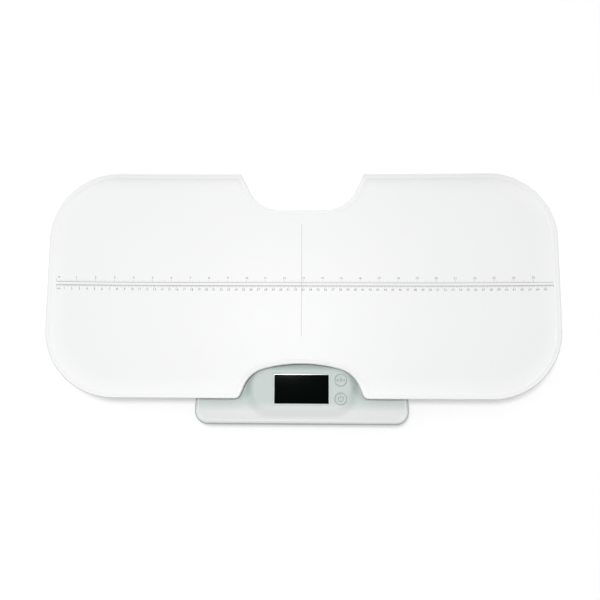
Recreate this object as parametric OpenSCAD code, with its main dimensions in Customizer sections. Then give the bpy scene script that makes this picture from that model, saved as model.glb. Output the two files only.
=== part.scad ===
// Digital baby weighing scale: a shallow lift-off cradle tray on a low weighing base.
// Origin at the middle of the footprint on the floor, X to the right, Y to the rear, Z up.

/* [Tray] */
// Length of the tray from end to end
tray_length = 680; // [600:1:740]
// Depth of the tray from front to rear
tray_depth = 304; // [280:1:330]
// Radius of the tray's corners in plan
tray_corner_r = 92; // [70:1:110]
// Height of the tray's surface above the floor, at its middle
tray_surface_z = 44; // [43:0.5:56]
// Thickness of the tray's skin
tray_skin = 3; // [2:0.1:3.5]
// Thickness of the tray's rim and notch walls
tray_wall = 2.4; // [1.8:0.1:3.2]
// Height of the tray's rim from its top edge down
tray_rim_h = 7; // [6:0.5:8]
// Radius that breaks the tray's top edge
tray_edge_r = 3; // [1:0.1:3.2]
// Rise of the surface from the level middle to each end
end_rise = 10; // [4:0.5:16]
// Length of the level middle stretch
level_length = 280; // [200:5:360]
// Extra rise of the lip along the front edge
front_lip_rise = 3; // [2:0.5:5]
// Extra rise of the lip along the rear edge
rear_lip_rise = 6.5; // [3:0.5:9]
// Extra rise of the lip along the end edges
end_lip_rise = 2; // [1:0.5:6]
// Width of the lip band
lip_width = 27; // [18:1:36]
// Thickness of the stiffening ribs under the tray
rib_t = 2; // [1.4:0.1:3]
// Places of the outer cross ribs, from the middle
cross_ribs = [150, 215, 280]; // [120:5:300]

/* [Rear hand notch] */
// Depth of the notch in the tray's rear edge
rear_notch_depth = 49; // [35:0.5:55]
// Width of the notch's straight bottom
rear_notch_flat = 60; // [40:1:80]
// Radius of the notch's bottom corners
rear_notch_r = 48; // [30:1:52]
// Lean of the notch's sides from the rear edge, in degrees
rear_notch_lean = 65; // [50:1:75]

/* [Console notch] */
// Depth of the notch in the tray's front edge
front_notch_depth = 46; // [42:0.5:52]
// Radius of the arch over the console
arch_r = 190; // [150:1:260]
// Radius of the arch's shoulders
shoulder_r = 40; // [34:1:46]
// Half angle of the arch, in degrees
arch_half_angle = 15.3; // [13:0.1:17]
// Lean of the notch's sides from the front edge, in degrees
front_notch_lean = 68; // [60:1:74]
// Radius where the notch turns into the front edge
notch_flare_r = 8; // [4:0.5:12]

/* [Base] */
// Width of the base
base_width = 284; // [270:1:310]
// Depth of the base
base_depth = 270; // [262:1:278]
// Reach of the base in front of the tray
console_reach = 34; // [28:0.5:40]
// Radius of the base's corners in plan
base_corner_r = 17; // [12:1:24]
// Height of the bottom cover's underside above the floor
underside_z = 5; // [4:0.5:7]
// Height of the joint between the two covers
parting_z = 20; // [18:0.5:21]
// Height of the platform that carries the tray
platform_z = 30; // [29:0.5:32]
// Wall thickness of both covers
cover_wall = 2.5; // [2:0.1:3]
// Height of the ledge in front of the tray
ledge_z = 35.5; // [33:0.5:36]
// Depth of the ledge's top, from the front of the base
ledge_depth = 30; // [28:0.5:32]
// Width of the slope behind the ledge
ledge_slope = 16; // [12:0.5:18]
// Corner radius at the rear of the ledge
ledge_corner_r = 8; // [4:0.5:10]
// Radius of the top cover's outer edge
top_edge_r = 5; // [3:0.5:5]
// Radius of the underside's outer edge
bottom_edge_r = 4; // [2:0.5:5]
// Height of the tongue that locates the covers on each other
tongue_h = 1.6; // [1:0.1:2.4]
// Side gap between the tongue and its rebate
tongue_gap = 0.15; // [0.1:0.05:0.3]
// Distance of the floor's first cross rib behind the front of the base
floor_rib_front = 60; // [54:1:70]
// Distance of the floor's second cross rib behind the front of the base
floor_rib_middle = 100; // [90:1:120]
// Distance of the floor's long ribs from the middle
floor_rib_x = 70; // [60:1:80]
// Height of the floor's ribs
floor_rib_h = 4; // [2:0.5:5]
// Thickness of the floor's ribs
floor_rib_t = 1.6; // [1.2:0.1:2]

/* [Console] */
// Height of the console's panel
panel_z = 38; // [37:0.5:39]
// Width of the console's panel
panel_width = 126; // [122:1:130]
// Width of the slope at the panel's sides and rear
panel_slope = 14; // [12:0.5:16]
// Width of the slope in front of the panel
panel_front_slope = 16; // [12:0.5:17]
// Distance from the front of the base to the panel's front edge
panel_front = 24; // [22:0.5:26]
// Distance from the front of the base to the panel's rear edge
panel_rear = 69.5; // [68:0.5:71]
// Corner radius of the panel
panel_corner_r = 20; // [14:1:21]
// Thickness of the panel
panel_t = 3; // [2.6:0.1:3.4]

/* [Display] */
// Width of the display window
window_width = 75; // [64:0.5:76]
// Depth of the display window
window_depth = 41; // [34:0.5:41.5]
// Distance from the front of the base to the middle of the window
window_middle = 46.4; // [44:0.1:48]
// Thickness of the display window
window_t = 1.6; // [1.2:0.1:1.8]
// Corner radius of the display window
window_corner_r = 1.5; // [0.5:0.5:3]
// Width of the ledge that the window is stuck to
window_ledge = 4; // [2:0.1:5]
// Gap round the window
window_gap = 0.15; // [0.1:0.05:0.3]
// How far the liquid crystal cell reaches past the opening under the window
lcd_reach = 0.5; // [0.3:0.1:1]
// Thickness of the liquid crystal cell
lcd_t = 2.8; // [2:0.1:3.2]
// Thickness of the circuit board
board_t = 1.6; // [1:0.1:2]
// Drop from the panel's underside to the circuit board
board_drop = 6.4; // [6:0.1:7]

/* [Buttons] */
// Diameter of a button
button_d = 15.5; // [12:0.5:17]
// Distance of the buttons from the middle of the base
button_x = 52; // [50:0.5:54]
// Distance between the two buttons
button_pitch = 24.7; // [20:0.1:26]
// Gap between a button and its hole
button_gap = 0.35; // [0.3:0.05:0.6]
// Height of a button above the panel
button_proud = 0.4; // [0.2:0.1:0.8]
// Travel of a button
button_travel = 0.6; // [0.4:0.1:0.8]
// Width of the rim that keeps a button in its hole
button_flange = 1.2; // [0.8:0.1:1.6]
// Side of a push switch
switch_side = 6; // [5:0.5:7]
// Height of a push switch above the board
switch_h = 3.4; // [3:0.1:3.6]
// Diameter of a push switch's plunger
plunger_d = 3.4; // [3:0.1:4]
// Gap between a plunger and its switch
plunger_gap = 0.3; // [0.3:0.05:0.5]

/* [Feet] */
// Distance of the feet from the sides of the base
foot_inset = 32; // [30:0.5:40]
// Diameter of a foot's cup
foot_cup_d = 30; // [26:0.5:31]
// Diameter of a foot's rubber pad
foot_pad_d = 26; // [20:0.5:27]
// Thickness of a foot's rubber pad
foot_pad_t = 3.2; // [2.6:0.1:3.4]
// Depth of the pad's seat in its cup
pad_seat = 1.4; // [1:0.1:1.6]
// Gap between a foot's cup and its hole in the bottom cover
foot_gap = 1; // [0.6:0.1:1.4]
// Side of a load cell's plate
cell_side = 34; // [33.5:0.5:37]
// Thickness of a load cell's plate
cell_t = 1.5; // [1.2:0.1:2]
// Height of the load cells above the bottom cover's floor
cell_lift = 1.5; // [1.2:0.1:2.5]
// Width of a load cell's outer frame
cell_frame = 4.5; // [4:0.5:5]
// Width of a load cell's bending tongue
cell_tongue = 11; // [9:0.5:12]
// Gap round a load cell in its pocket
cell_gap = 0.5; // [0.4:0.1:0.8]

/* [Tray seats] */
// Distance of the tray's posts from the middle of the base, to the sides
post_x = 84; // [78:1:85]
// Distance of the tray's front posts behind the front of the base
post_front = 124; // [120:1:130]
// Distance of the tray's rear posts behind the front of the base
post_rear = 240; // [236:1:243]
// Diameter of a post
post_d = 20; // [16:0.5:22]
// Diameter of a locating peg
peg_d = 9; // [7:0.5:10]
// Length of a locating peg
peg_length = 7; // [5:0.5:7.5]
// Gap between a peg and its socket
peg_gap = 0.35; // [0.3:0.05:0.6]
// Outer diameter of a silicone seat ring
seat_d = 24; // [23:0.5:26]
// Thickness of a silicone seat ring
seat_t = 2.5; // [2:0.1:3]
// Depth of a seat ring's recess in the platform
seat_recess = 1; // [0.6:0.1:1.2]
// Reach of the gussets round a post
gusset_w = 7; // [4:0.5:10]
// Height of a gusset's foot above the post's foot
gusset_lift = 1.5; // [1:0.1:2.5]

/* [Battery bay] */
// Number of battery cells
cell_count = 4; // [2:1:4]
// Diameter of a battery cell
battery_d = 10.5; // [10:0.1:10.6]
// Length of a battery cell, with its button
battery_length = 44.5; // [43:0.1:45]
// Distance between two battery cells
battery_pitch = 11.6; // [11.2:0.1:12.5]
// Distance of the bay's front wall behind the front of the base
bay_front = 150; // [140:1:160]
// Thickness of the battery door
door_t = 1.8; // [1.5:0.1:2.4]
// Width of a battery's contact plate
contact_w = 9; // [6:0.5:10]
// Height of a battery's contact plate
contact_h = 8; // [5:0.5:9]
// Diameter of a battery spring at its foot
spring_d = 8; // [6:0.5:9]
// Diameter of a battery spring at its tip
spring_tip_d = 4.8; // [4:0.2:5.6]
// Height of a battery spring as fitted
spring_h = 4.2; // [3:0.1:5]
// Thickness of a battery spring's wire
spring_wire = 0.6; // [0.5:0.05:0.7]
// Gap round the battery door
door_gap = 0.35; // [0.3:0.05:0.5]
// Radius of the door's hinge barrel
barrel_r = 3; // [2.6:0.1:3.4]
// Diameter of the door's hinge pins
hinge_pin_d = 2.4; // [2:0.1:2.8]
// Length of the door's hinge pins
hinge_pin_length = 2; // [1.5:0.1:2.4]
// Gap between a hinge pin and its hole
hinge_gap = 0.3; // [0.3:0.05:0.4]

/* [Fasteners and leads] */
// Diameter of a cover screw's shank
screw_d = 3; // [2.5:0.1:3.5]
// Diameter of a cover screw's head
screw_head_d = 6; // [5:0.1:6.5]
// Length of a cover screw below its head
screw_length = 11; // [9:0.5:12]
// Diameter of a board screw's shank
board_screw_d = 2; // [1.6:0.1:2.4]
// Side gap round a screw in its hole
screw_gap = 0.1; // [0.05:0.05:0.2]
// Width of a load cell's ribbon lead
lead_w = 3.6; // [2.4:0.1:4]
// Thickness of a load cell's ribbon lead
lead_t = 1; // [0.8:0.1:1.2]

/* [Hidden] */
$fn = 48;

eps = 0.01;
over = 1;                       // how far a cut runs past what it cuts
tray_steps = [14, 16];          // steps round a corner and along a long side
cover_steps = [12, 1];
foot_sink = 0.1;                // how far a slope's foot starts below what it rises from
skin_step = 0.05;               // from the base's wall to the ledge's
hollow_step = 0.3;              // from the base's inner wall to the ledge's
white = [0.95, 0.96, 0.96];
mint = [0.84, 0.88, 0.87];
steel = [0.72, 0.74, 0.76];

// Places along Y
front_y = -(tray_depth + console_reach) / 2;
tray_y = console_reach / 2;
base_y = front_y + base_depth / 2;
rear_y = front_y + base_depth;
panel_y = front_y + (panel_front + panel_rear) / 2;
panel_depth = panel_rear - panel_front;
window_y = front_y + window_middle;
buttons_y = [window_y - button_pitch / 2, window_y + button_pitch / 2];

ledge_foot_y = front_y + ledge_depth + ledge_slope;

// Heights
panel_under_z = panel_z - panel_t;
board_top_z = panel_under_z - board_drop;
board_z = board_top_z - board_t;
lcd_clear = 0.6;                // between the crystal cell and the panel
lcd_z = panel_under_z - lcd_clear - lcd_t;
switch_top_z = board_top_z + switch_h;
flange_clear = 0.2;             // between a button's rim and the panel
flange_top_z = panel_under_z - flange_clear;
flange_t = 1;
flange_z = flange_top_z - flange_t;
floor_z = underside_z + cover_wall;
roof_z = platform_z - cover_wall;
cell_z = floor_z + cell_lift;
cell_top_z = cell_z + cell_t;
lead_z = floor_z + 0.3;
seat_z = platform_z - seat_recess;
seat_top_z = seat_z + seat_t;

cell_room = cell_side + 2 * cell_gap;
foot_spots = [[-1, -1], [1, -1], [-1, 1], [1, 1]];
function foot_at(s) = [s.x * (base_width / 2 - foot_inset),
                       base_y + s.y * (base_depth / 2 - foot_inset)];
post_spots = [for (sx = [-1, 1], y = [post_front, post_rear]) [sx * post_x, front_y + y]];

screw_seat_z = parting_z - 6;
screw_tip_z = screw_seat_z + screw_length;
screw_inset = 12;               // from the base's edges
screw_spots = [for (s = [-1, 1])
    each [[s * (base_width / 2 - screw_inset), base_y],
          [s * base_width / 4, front_y + screw_inset], [s * base_width / 4, rear_y - screw_inset]]];

// Battery bay
bay_wall = 1.6;
plate_t = 0.4;                  // contact plates
bay_y = front_y + bay_front;
bay_half = cell_count * battery_pitch / 2 + 1;
barrel_y = bay_y + barrel_r + door_gap;
barrel_z = underside_z + barrel_r;
bulkhead_y = barrel_y + barrel_r + door_gap;
contact_y = bulkhead_y + bay_wall;
bay_end_y = contact_y + plate_t + battery_length + spring_h;
battery_z = underside_z + door_t + 0.8 + battery_d / 2;
bay_roof_z = battery_z + battery_d / 2 + 0.4;
door_end_y = bay_end_y + 3;

// ---- Rings and lofts ----

// Rear half of a rounded rectangle of half sizes a and b, as [x, y, angle of its outward normal]
function rear_half(a, b, r, steps) = concat(
    [for (i = [0 : steps[0]]) let (t = 90 * i / steps[0])
        [a - r + r * cos(t), b - r + r * sin(t), t]],
    [for (k = [1 : 1 : steps[1] - 1]) [(a - r) * (1 - 2 * k / steps[1]), b, 90]],
    [for (i = [0 : steps[0]]) let (t = 90 + 90 * i / steps[0])
        [-(a - r) + r * cos(t), b - r + r * sin(t), t]]);
function plan_ring(a, b, front_r, rear_r, steps) = let (h = rear_half(a, b, front_r, steps))
    concat(rear_half(a, b, rear_r, steps),
           [for (i = [len(h) - 1 : -1 : 0]) [h[i].x, -h[i].y, -h[i].z]]);
function ease(f) = f * f * (3 - 2 * f);

// Closed skin through rings from the bottom up, with a strip of facets across each end
module loft(rings) {
    m = len(rings);
    n = len(rings[0]);
    half = n / 2;
    side = [for (i = [0 : m - 2], j = [0 : n - 1])
        let (a = i * n + j, b = i * n + (j + 1) % n)
        each [[a, a + n, b], [b, a + n, b + n]]];
    bottom = [for (j = [0 : half - 2]) each [[j, j + 1, n - 1 - j], [j + 1, n - 2 - j, n - 1 - j]]];
    t = (m - 1) * n;
    top = [for (f = bottom) [t + f[0], t + f[2], t + f[1]]];
    polyhedron(points = [for (r = rings) each r], faces = concat(side, bottom, top));
}

// A level ring of the base's outline, drawn in by inset
function base_ring(inset, z) = let (r = base_corner_r - inset)
    [for (p = plan_ring(base_width / 2 - inset, base_depth / 2 - inset, r, r, cover_steps))
        [p.x, p.y + base_y, z]];

// ---- Flat outlines ----

module rounded_plan(w, d, r) {
    square([w - 2 * r, d], center = true);
    square([w, d - 2 * r], center = true);
    for (x = [-1, 1], y = [-1, 1])
        translate([x * (w / 2 - r), y * (d / 2 - r)]) circle(r);
}

module base_plan(inset) {
    translate([0, base_y])
        rounded_plan(base_width - 2 * inset, base_depth - 2 * inset, base_corner_r - inset);
}

module block(x, y, z) {
    translate([x[0], y[0], z[0]]) cube([x[1] - x[0], y[1] - y[0], z[1] - z[0]]);
}

module tube(outer_d, inner_d, h) {
    difference() {
        cylinder(d = outer_d, h = h);
        translate([0, 0, -over]) cylinder(d = inner_d, h = h + 2 * over);
    }
}

// ---- Tray ----

// Height of the tray's surface over its middle: it curls up to the ends and again at the lip
function rise_to_end(x) = end_rise
    * pow(max(0, abs(x) - level_length / 2) / (tray_length / 2 - level_length / 2), 2);
function lip_rise(inset, t) = pow(max(0, 1 - inset / lip_width), 2)
    * ((t > 0 ? rear_lip_rise : front_lip_rise) * pow(sin(t), 2) + end_lip_rise * pow(cos(t), 2));

// One ring of the tray, drawn in by inset and then shrunk towards the long middle line
function tray_ring(inset, shrink, drop) =
    let (b0 = tray_depth / 2 - inset, b = b0 * shrink,
         a = tray_length / 2 - inset - (b0 - b), r = (tray_corner_r - inset) * shrink)
    [for (p = plan_ring(a, b, r, r, tray_steps))
        [p.x, p.y + tray_y, tray_surface_z + rise_to_end(p.x) + lip_rise(inset, p.z) - drop]];

module tray_block() {
    edge = [for (t = [0, 30, 60, 90]) [tray_edge_r * (1 - cos(t)), tray_edge_r * (1 - sin(t))]];
    loft(concat(
        [for (s = [0.08, 0.5, 1]) tray_ring(lip_width, s, tray_rim_h)],
        [for (i = [lip_width / 2, 0]) tray_ring(i, 1, tray_rim_h)],
        [for (e = edge) tray_ring(e[0], 1, e[1])],
        [for (k = [1 : 4]) tray_ring(tray_edge_r + (lip_width - tray_edge_r) * k / 4, 1, 0)],
        [for (s = [0.75, 0.5, 0.25, 0.08]) tray_ring(lip_width, s, 0)]));
}

// The hollow under the skin, as deep as the rim and open below
module tray_hollow() {
    open_z = tray_rim_h + over;
    loft(concat(
        [for (s = [0.08, 0.5, 1]) tray_ring(lip_width, s, open_z)],
        [for (i = [lip_width / 2, tray_wall]) tray_ring(i, 1, open_z)],
        [for (k = [0 : 3]) tray_ring(tray_wall + (lip_width - tray_wall) * k / 3, 1, tray_skin)],
        [for (s = [0.66, 0.33, 0.08]) tray_ring(lip_width, s, tray_skin)]));
}

function arc(c, r, a0, a1, steps) =
    [for (i = [0 : steps]) let (a = a0 + (a1 - a0) * i / steps) [c.x + r * sin(a), c.y + r * cos(a)]];
function both_sides(half) = concat(half, [for (i = [len(half) - 1 : -1 : 0]) [-half[i].x, half[i].y]]);

// Right half of the console notch, from the middle of its arch to past the front edge;
// grow widens it by the notch's wall
function front_notch_half(grow) =
    let (edge_y = -tray_depth / 2, top_y = edge_y + front_notch_depth,
         r1 = arch_r + grow, r2 = shoulder_r + grow, a = arch_half_angle, lean = front_notch_lean,
         c1 = [0, top_y - arch_r],
         c2 = c1 + (arch_r - shoulder_r) * [sin(a), cos(a)],
         foot = c2 + shoulder_r * [sin(lean), cos(lean)],
         run = (foot.y - (edge_y + notch_flare_r * (1 - cos(lean)))) / sin(lean),
         c3 = foot + run * [cos(lean), -sin(lean)] + notch_flare_r * [sin(lean), cos(lean)],
         r3 = max(0.2, notch_flare_r - grow))
    concat(arc(c1, r1, 0, a, 8), arc(c2, r2, a, lean, 14),
           [for (i = [0 : 6]) let (t = lean * (1 - i / 6)) c3 - r3 * [sin(t), cos(t)]],
           [[c3.x, edge_y - over - grow]]);

// Right half of the rear hand notch, from the middle of its bottom to past the rear edge
function rear_notch_half(grow) =
    let (edge_y = tray_depth / 2, bottom_y = edge_y - rear_notch_depth,
         c = [rear_notch_flat / 2, bottom_y + rear_notch_r], r = rear_notch_r + grow,
         end = c + r * [sin(rear_notch_lean), -cos(rear_notch_lean)],
         past_y = edge_y + over + grow)
    concat([for (i = [0 : 12]) let (t = rear_notch_lean * i / 12) c + r * [sin(t), -cos(t)]],
           [[end.x + (past_y - end.y) / tan(rear_notch_lean), past_y]]);

module notches(grow) {
    low_z = tray_surface_z - 3 * tray_rim_h;
    high_z = tray_surface_z + end_rise + rear_lip_rise + end_lip_rise + over;
    translate([0, tray_y, low_z])
        linear_extrude(high_z - low_z) {
            polygon(both_sides(front_notch_half(grow)));
            polygon(both_sides(rear_notch_half(grow)));
        }
}

module tray_ribs() {
    z = [tray_surface_z - 2 * tray_rim_h, tray_surface_z + end_rise + 2 * rear_lip_rise];
    for (s = [-1, 1], x = concat([post_x], cross_ribs))
        block([s * x - rib_t / 2, s * x + rib_t / 2], [tray_y - tray_depth, tray_y + tray_depth], z);
    for (y = [post_front, post_rear])
        block([-tray_length, tray_length], [front_y + y - rib_t / 2, front_y + y + rib_t / 2], z);
}

module tray() {
    color(white) {
        difference() {
            tray_block();
            notches(0);
            difference() {
                tray_hollow();
                notches(tray_wall);
                tray_ribs();
            }
        }
        for (p = post_spots) translate([p.x, p.y, 0]) tray_post();
    }
}

// A post that stands on a seat ring, with the peg that finds its socket
module tray_post() {
    tip = 1.2;
    translate([0, 0, seat_top_z])
        cylinder(d = post_d, h = tray_surface_z - tray_skin / 2 - seat_top_z);
    translate([0, 0, seat_top_z - peg_length + tip]) cylinder(d = peg_d, h = peg_length - tip + over);
    translate([0, 0, seat_top_z - peg_length])
        cylinder(d1 = peg_d - 2 * tip, d2 = peg_d, h = tip);
    // gussets up to the ribs
    rib_z = tray_surface_z - tray_rim_h;
    gusset_t = 0.8 * rib_t;
    for (a = [0 : 90 : 270]) rotate(a) translate([post_d / 2 - 1, gusset_t / 2, 0]) rotate([90, 0, 0])
        linear_extrude(gusset_t)
            polygon([[0, seat_top_z + gusset_lift], [1, seat_top_z + gusset_lift], [gusset_w + 1, rib_z],
                     [gusset_w + 1, rib_z + over], [0, rib_z + over]]);
}

module tray_seats() {
    color([0.75, 0.78, 0.78])
        for (p = post_spots)
            translate([p.x, p.y, seat_z]) tube(seat_d, peg_d + 2 * peg_gap + 0.6, seat_t);
}

// ---- Top cover ----

// Height of the cover's top beside the console: the ledge, its slope and the platform
function shelf_z(y) = platform_z
    + (ledge_z - platform_z) * ease(min(1, max(0, (ledge_foot_y - y) / ledge_slope)));

// One ring of the ledge: f runs from 0 at the foot of its slope to 1 at its level top,
// while its front and ends follow the cover's rounded edge
function ledge_ring(f, inset, drop) =
    let (foot = platform_z - foot_sink, z = foot + (ledge_z - foot) * ease(f),
         up = max(0, 1 - (ledge_z - z) / top_edge_r),
         in = inset + top_edge_r * (1 - sqrt(1 - up * up)),
         front = front_y + in, rear = ledge_foot_y - ledge_slope * f - inset,
         front_r = base_corner_r - in, rear_r = min(ledge_corner_r - inset, rear - front - front_r - over))
    [for (p = plan_ring(base_width / 2 - in, (rear - front) / 2, front_r, rear_r, cover_steps))
        [p.x, p.y + (front + rear) / 2, z - drop]];

// One ring of the console's mound: f runs from 0 at the foot of the slope to 1 at the panel's edge
function mound_ring(f, inset, drop) =
    let (out = panel_slope * (1 - f) - inset, front_out = panel_front_slope * (1 - f) - inset,
         r = panel_corner_r + out)
    [for (p = plan_ring(panel_width / 2 + out, (panel_depth + out + front_out) / 2, r, r, cover_steps))
        let (y = p.y + panel_y + (out - front_out) / 2, foot = shelf_z(y) - foot_sink)
        [p.x, y, foot + (panel_z - foot) * ease(f) - drop]];

// Rings from 0 to 1 on a level foot at height z
module rise_from(z, rings) {
    loft(concat([[for (p = rings[0]) [p.x, p.y, z]]], rings));
}

module ledge(inset, drop, z) {
    rise_from(z, [for (k = [0 : 8]) ledge_ring(k / 8, inset, drop)]);
}

module mound(inset, drop, z) {
    rise_from(z, [for (k = [0 : 8]) mound_ring(k / 8, inset, drop)]);
}

module top_skin() {
    arc_z = platform_z - top_edge_r;
    loft(concat([base_ring(0, parting_z)],
        [for (t = [0 : 15 : 90])
            base_ring(top_edge_r * (1 - cos(t)), arc_z + top_edge_r * sin(t))]));
}

module top_cover() {
    window_hole = [window_width - 2 * window_ledge, window_depth - 2 * window_ledge];
    socket_d = peg_d + 2 * peg_gap;
    socket_z = seat_top_z - peg_length - 1;
    ring_d = [cell_side - 2, cell_side - 7];
    color(mint)
    difference() {
        union() {
            difference() {
                union() {
                    top_skin();
                    ledge(skin_step, 0, platform_z - top_edge_r - over);
                    mound(0, 0, platform_z - cover_wall / 2);
                }
                translate([0, 0, parting_z - over])
                    linear_extrude(roof_z - parting_z + over) base_plan(cover_wall);
                difference() {
                    ledge(cover_wall + hollow_step, cover_wall, roof_z - over);
                    // roots of the front rings, up to the ledge
                    for (s = [foot_spots[0], foot_spots[1]])
                        translate([foot_at(s).x, foot_at(s).y, roof_z - 2 * over])
                            tube(ring_d[0] + 1, ring_d[1] - 1, ledge_z - roof_z + 2 * over);
                }
                mound(cover_wall, panel_t, platform_z - panel_t - over);
                // rebate for the bottom cover's tongue
                translate([0, 0, parting_z - over])
                    linear_extrude(tongue_h + 0.2 + over) base_plan(cover_wall / 2);
            }
            // screw bosses
            for (p = screw_spots) translate([p.x, p.y, parting_z])
                cylinder(d = screw_head_d + 2.4, h = shelf_z(p.y) - parting_z - cover_wall / 2);
            // rings that press on the load cells
            for (s = foot_spots) translate([foot_at(s).x, foot_at(s).y, cell_top_z])
                tube(ring_d[0], ring_d[1], roof_z - cell_top_z + cover_wall / 2);
            // wells for the tray's pegs
            for (p = post_spots) translate([p.x, p.y, socket_z - cover_wall / 2])
                cylinder(d = socket_d + 2 * cover_wall, h = platform_z - socket_z - eps);
            // bosses for the circuit board
            for (p = board_screw_spots) translate([p.x, p.y, board_top_z])
                cylinder(d = 6, h = panel_under_z - board_top_z + panel_t / 2);
        }
        // display opening with its ledge
        translate([0, window_y, panel_z - window_t])
            linear_extrude(window_t + over) rounded_plan(window_width + 2 * window_gap,
                window_depth + 2 * window_gap, window_corner_r + window_gap);
        translate([-window_hole.x / 2, window_y - window_hole.y / 2, panel_under_z - over])
            cube([window_hole.x, window_hole.y, panel_t + over]);
        // button holes, with room for their rims below
        for (y = buttons_y) translate([button_x, y, 0]) {
            translate([0, 0, panel_under_z - over])
                cylinder(d = button_d + 2 * button_gap, h = panel_t + 2 * over);
            translate([0, 0, board_top_z])
                cylinder(d = button_d + 2 * (button_flange + button_gap), h = board_drop);
        }
        // seats and sockets for the tray
        for (p = post_spots) {
            translate([p.x, p.y, seat_z]) cylinder(d = seat_d + 0.4, h = seat_recess + over);
            translate([p.x, p.y, socket_z]) cylinder(d = socket_d, h = platform_z - socket_z + over);
        }
        // pilot holes
        for (p = screw_spots) translate([p.x, p.y, parting_z - over])
            cylinder(d = screw_d + 2 * screw_gap, h = screw_tip_z + 0.6 - parting_z + over);
        for (p = board_screw_spots) translate([p.x, p.y, board_top_z - over])
            cylinder(d = board_screw_d + 2 * screw_gap, h = 4.4 + over);
    }
}

// ---- Display and board ----

module display_window() {
    color([0.03, 0.05, 0.04])
    translate([0, window_y, panel_z - window_t])
        linear_extrude(window_t) rounded_plan(window_width, window_depth, window_corner_r);
}

lcd_size = [window_width, window_depth] + 2 * (lcd_reach - window_ledge) * [1, 1];
frame_wall = 1.4;

module lcd_cell() {
    color([0.2, 0.24, 0.22])
    translate([-lcd_size.x / 2, window_y - lcd_size.y / 2, lcd_z])
        cube([lcd_size.x, lcd_size.y, lcd_t]);
}

// Frame that holds the cell off the board, with its light guide as a floor
module lcd_frame() {
    gap = 0.1;
    outer = lcd_size + 2 * (frame_wall + gap) * [1, 1];
    color([0.93, 0.93, 0.91])
    difference() {
        translate([-outer.x / 2, window_y - outer.y / 2, board_top_z])
            cube([outer.x, outer.y, panel_under_z - board_top_z]);
        translate([-lcd_size.x / 2 - gap, window_y - lcd_size.y / 2 - gap, lcd_z])
            cube([lcd_size.x + 2 * gap, lcd_size.y + 2 * gap, panel_t + lcd_t]);
    }
}

board_left = -lcd_size.x / 2 - 11.5;
board_right = button_x + 8;
board_front = window_y - lcd_size.y / 2 - 6;
board_rear = window_y + lcd_size.y / 2 + 7;
board_screw_spots = [for (x = [board_left + 4, button_x - 10.5], y = [board_front + 3, board_rear - 3])
    [x, y]];

module main_board() {
    color([0.1, 0.4, 0.22])
    difference() {
        block([board_left, board_right], [board_front, board_rear], [board_z, board_top_z]);
        for (p = board_screw_spots) translate([p.x, p.y, board_z - over])
            cylinder(d = board_screw_d + 4 * screw_gap, h = board_t + 2 * over);
    }
    // processor, crystal and buzzer on the underside
    color([0.08, 0.08, 0.09]) {
        translate([-8, window_y - 8, board_z - 1.6]) cube([16, 16, 1.6]);
        translate([20, window_y, board_z - 3]) cylinder(d = 12, h = 3);
        translate([-30, window_y - 3, board_z - 3]) cube([11, 4.5, 3]);
    }
}

module board_screws() {
    color(steel)
    for (p = board_screw_spots) translate([p.x, p.y, board_z - 1.4]) {
        cylinder(d = 2 * board_screw_d, h = 1.4);
        cylinder(d = board_screw_d, h = board_t + 1.4 + 4);
    }
}

module push_switches() {
    color([0.15, 0.15, 0.16])
    for (y = buttons_y)
        translate([button_x, y, board_top_z])
        difference() {
            translate([-switch_side / 2, -switch_side / 2, 0])
                cube([switch_side, switch_side, switch_h]);
            translate([0, 0, switch_h - 2]) cylinder(d = plunger_d + 2 * plunger_gap, h = 2 + over);
        }
}

// ---- Buttons ----

module button_cap(y) {
    dish_r = 60;
    color(mint)
    difference() {
        translate([button_x, y, flange_z]) {
            cylinder(d = button_d + 2 * button_flange, h = flange_t);
            cylinder(d = button_d, h = panel_z + button_proud - flange_z);
        }
        // shallow dish for the fingertip
        translate([button_x, y, panel_z + button_proud + dish_r - 0.35]) sphere(dish_r, $fn = 96);
    }
}

module plunger(y) {
    color([0.85, 0.2, 0.15])
    translate([button_x, y, switch_top_z - 1.2])
        cylinder(d = plunger_d, h = flange_z - switch_top_z + 1.2);
}

module zero_button() { button_cap(buttons_y[1]); }
module zero_plunger() { plunger(buttons_y[1]); }
module power_button() { button_cap(buttons_y[0]); }
module power_plunger() { plunger(buttons_y[0]); }

// ---- Feet and load cells ----

// Sprung steel plate: an outer frame carries the base, the tongue stands on the foot
module load_cell(s) {
    inner = cell_side - 2 * cell_frame;
    slot = (inner - cell_tongue) / 2;
    color(steel)
    translate([foot_at(s).x, foot_at(s).y, cell_z])
    rotate(s.y > 0 ? 180 : 0)
    difference() {
        union() {
            linear_extrude(cell_t) rounded_plan(cell_side, cell_side, 3);
            // potting over the strain gauges
            translate([-4, -inner / 2 + 1, cell_t - eps]) cube([8, 6, 1.2]);
        }
        for (x = [-1, 1])
            translate([x * (cell_tongue + slot) / 2, 0, -over]) linear_extrude(cell_t + 2 * over)
                square([slot, inner], center = true);
        translate([-inner / 2, inner / 2 - 2, -over]) cube([inner, 2, cell_t + 2 * over]);
    }
}

module foot_cup(s) {
    color([0.88, 0.9, 0.9])
    translate([foot_at(s).x, foot_at(s).y, foot_pad_t - pad_seat])
    difference() {
        union() {
            cylinder(d = foot_cup_d, h = floor_z - 1 - foot_pad_t + pad_seat);
            cylinder(d = cell_tongue - 1, h = cell_z - foot_pad_t + pad_seat);
        }
        translate([0, 0, -over]) cylinder(d = foot_pad_d + 0.2, h = pad_seat + over);
    }
}

module foot_pad(s) {
    color([0.62, 0.65, 0.66])
    translate([foot_at(s).x, foot_at(s).y, 0])
    difference() {
        cylinder(d = foot_pad_d, h = foot_pad_t);
        // shallow ring groove in the tread
        translate([0, 0, -over]) tube(foot_pad_d - 8, foot_pad_d - 12, over + 0.6);
    }
}

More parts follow.
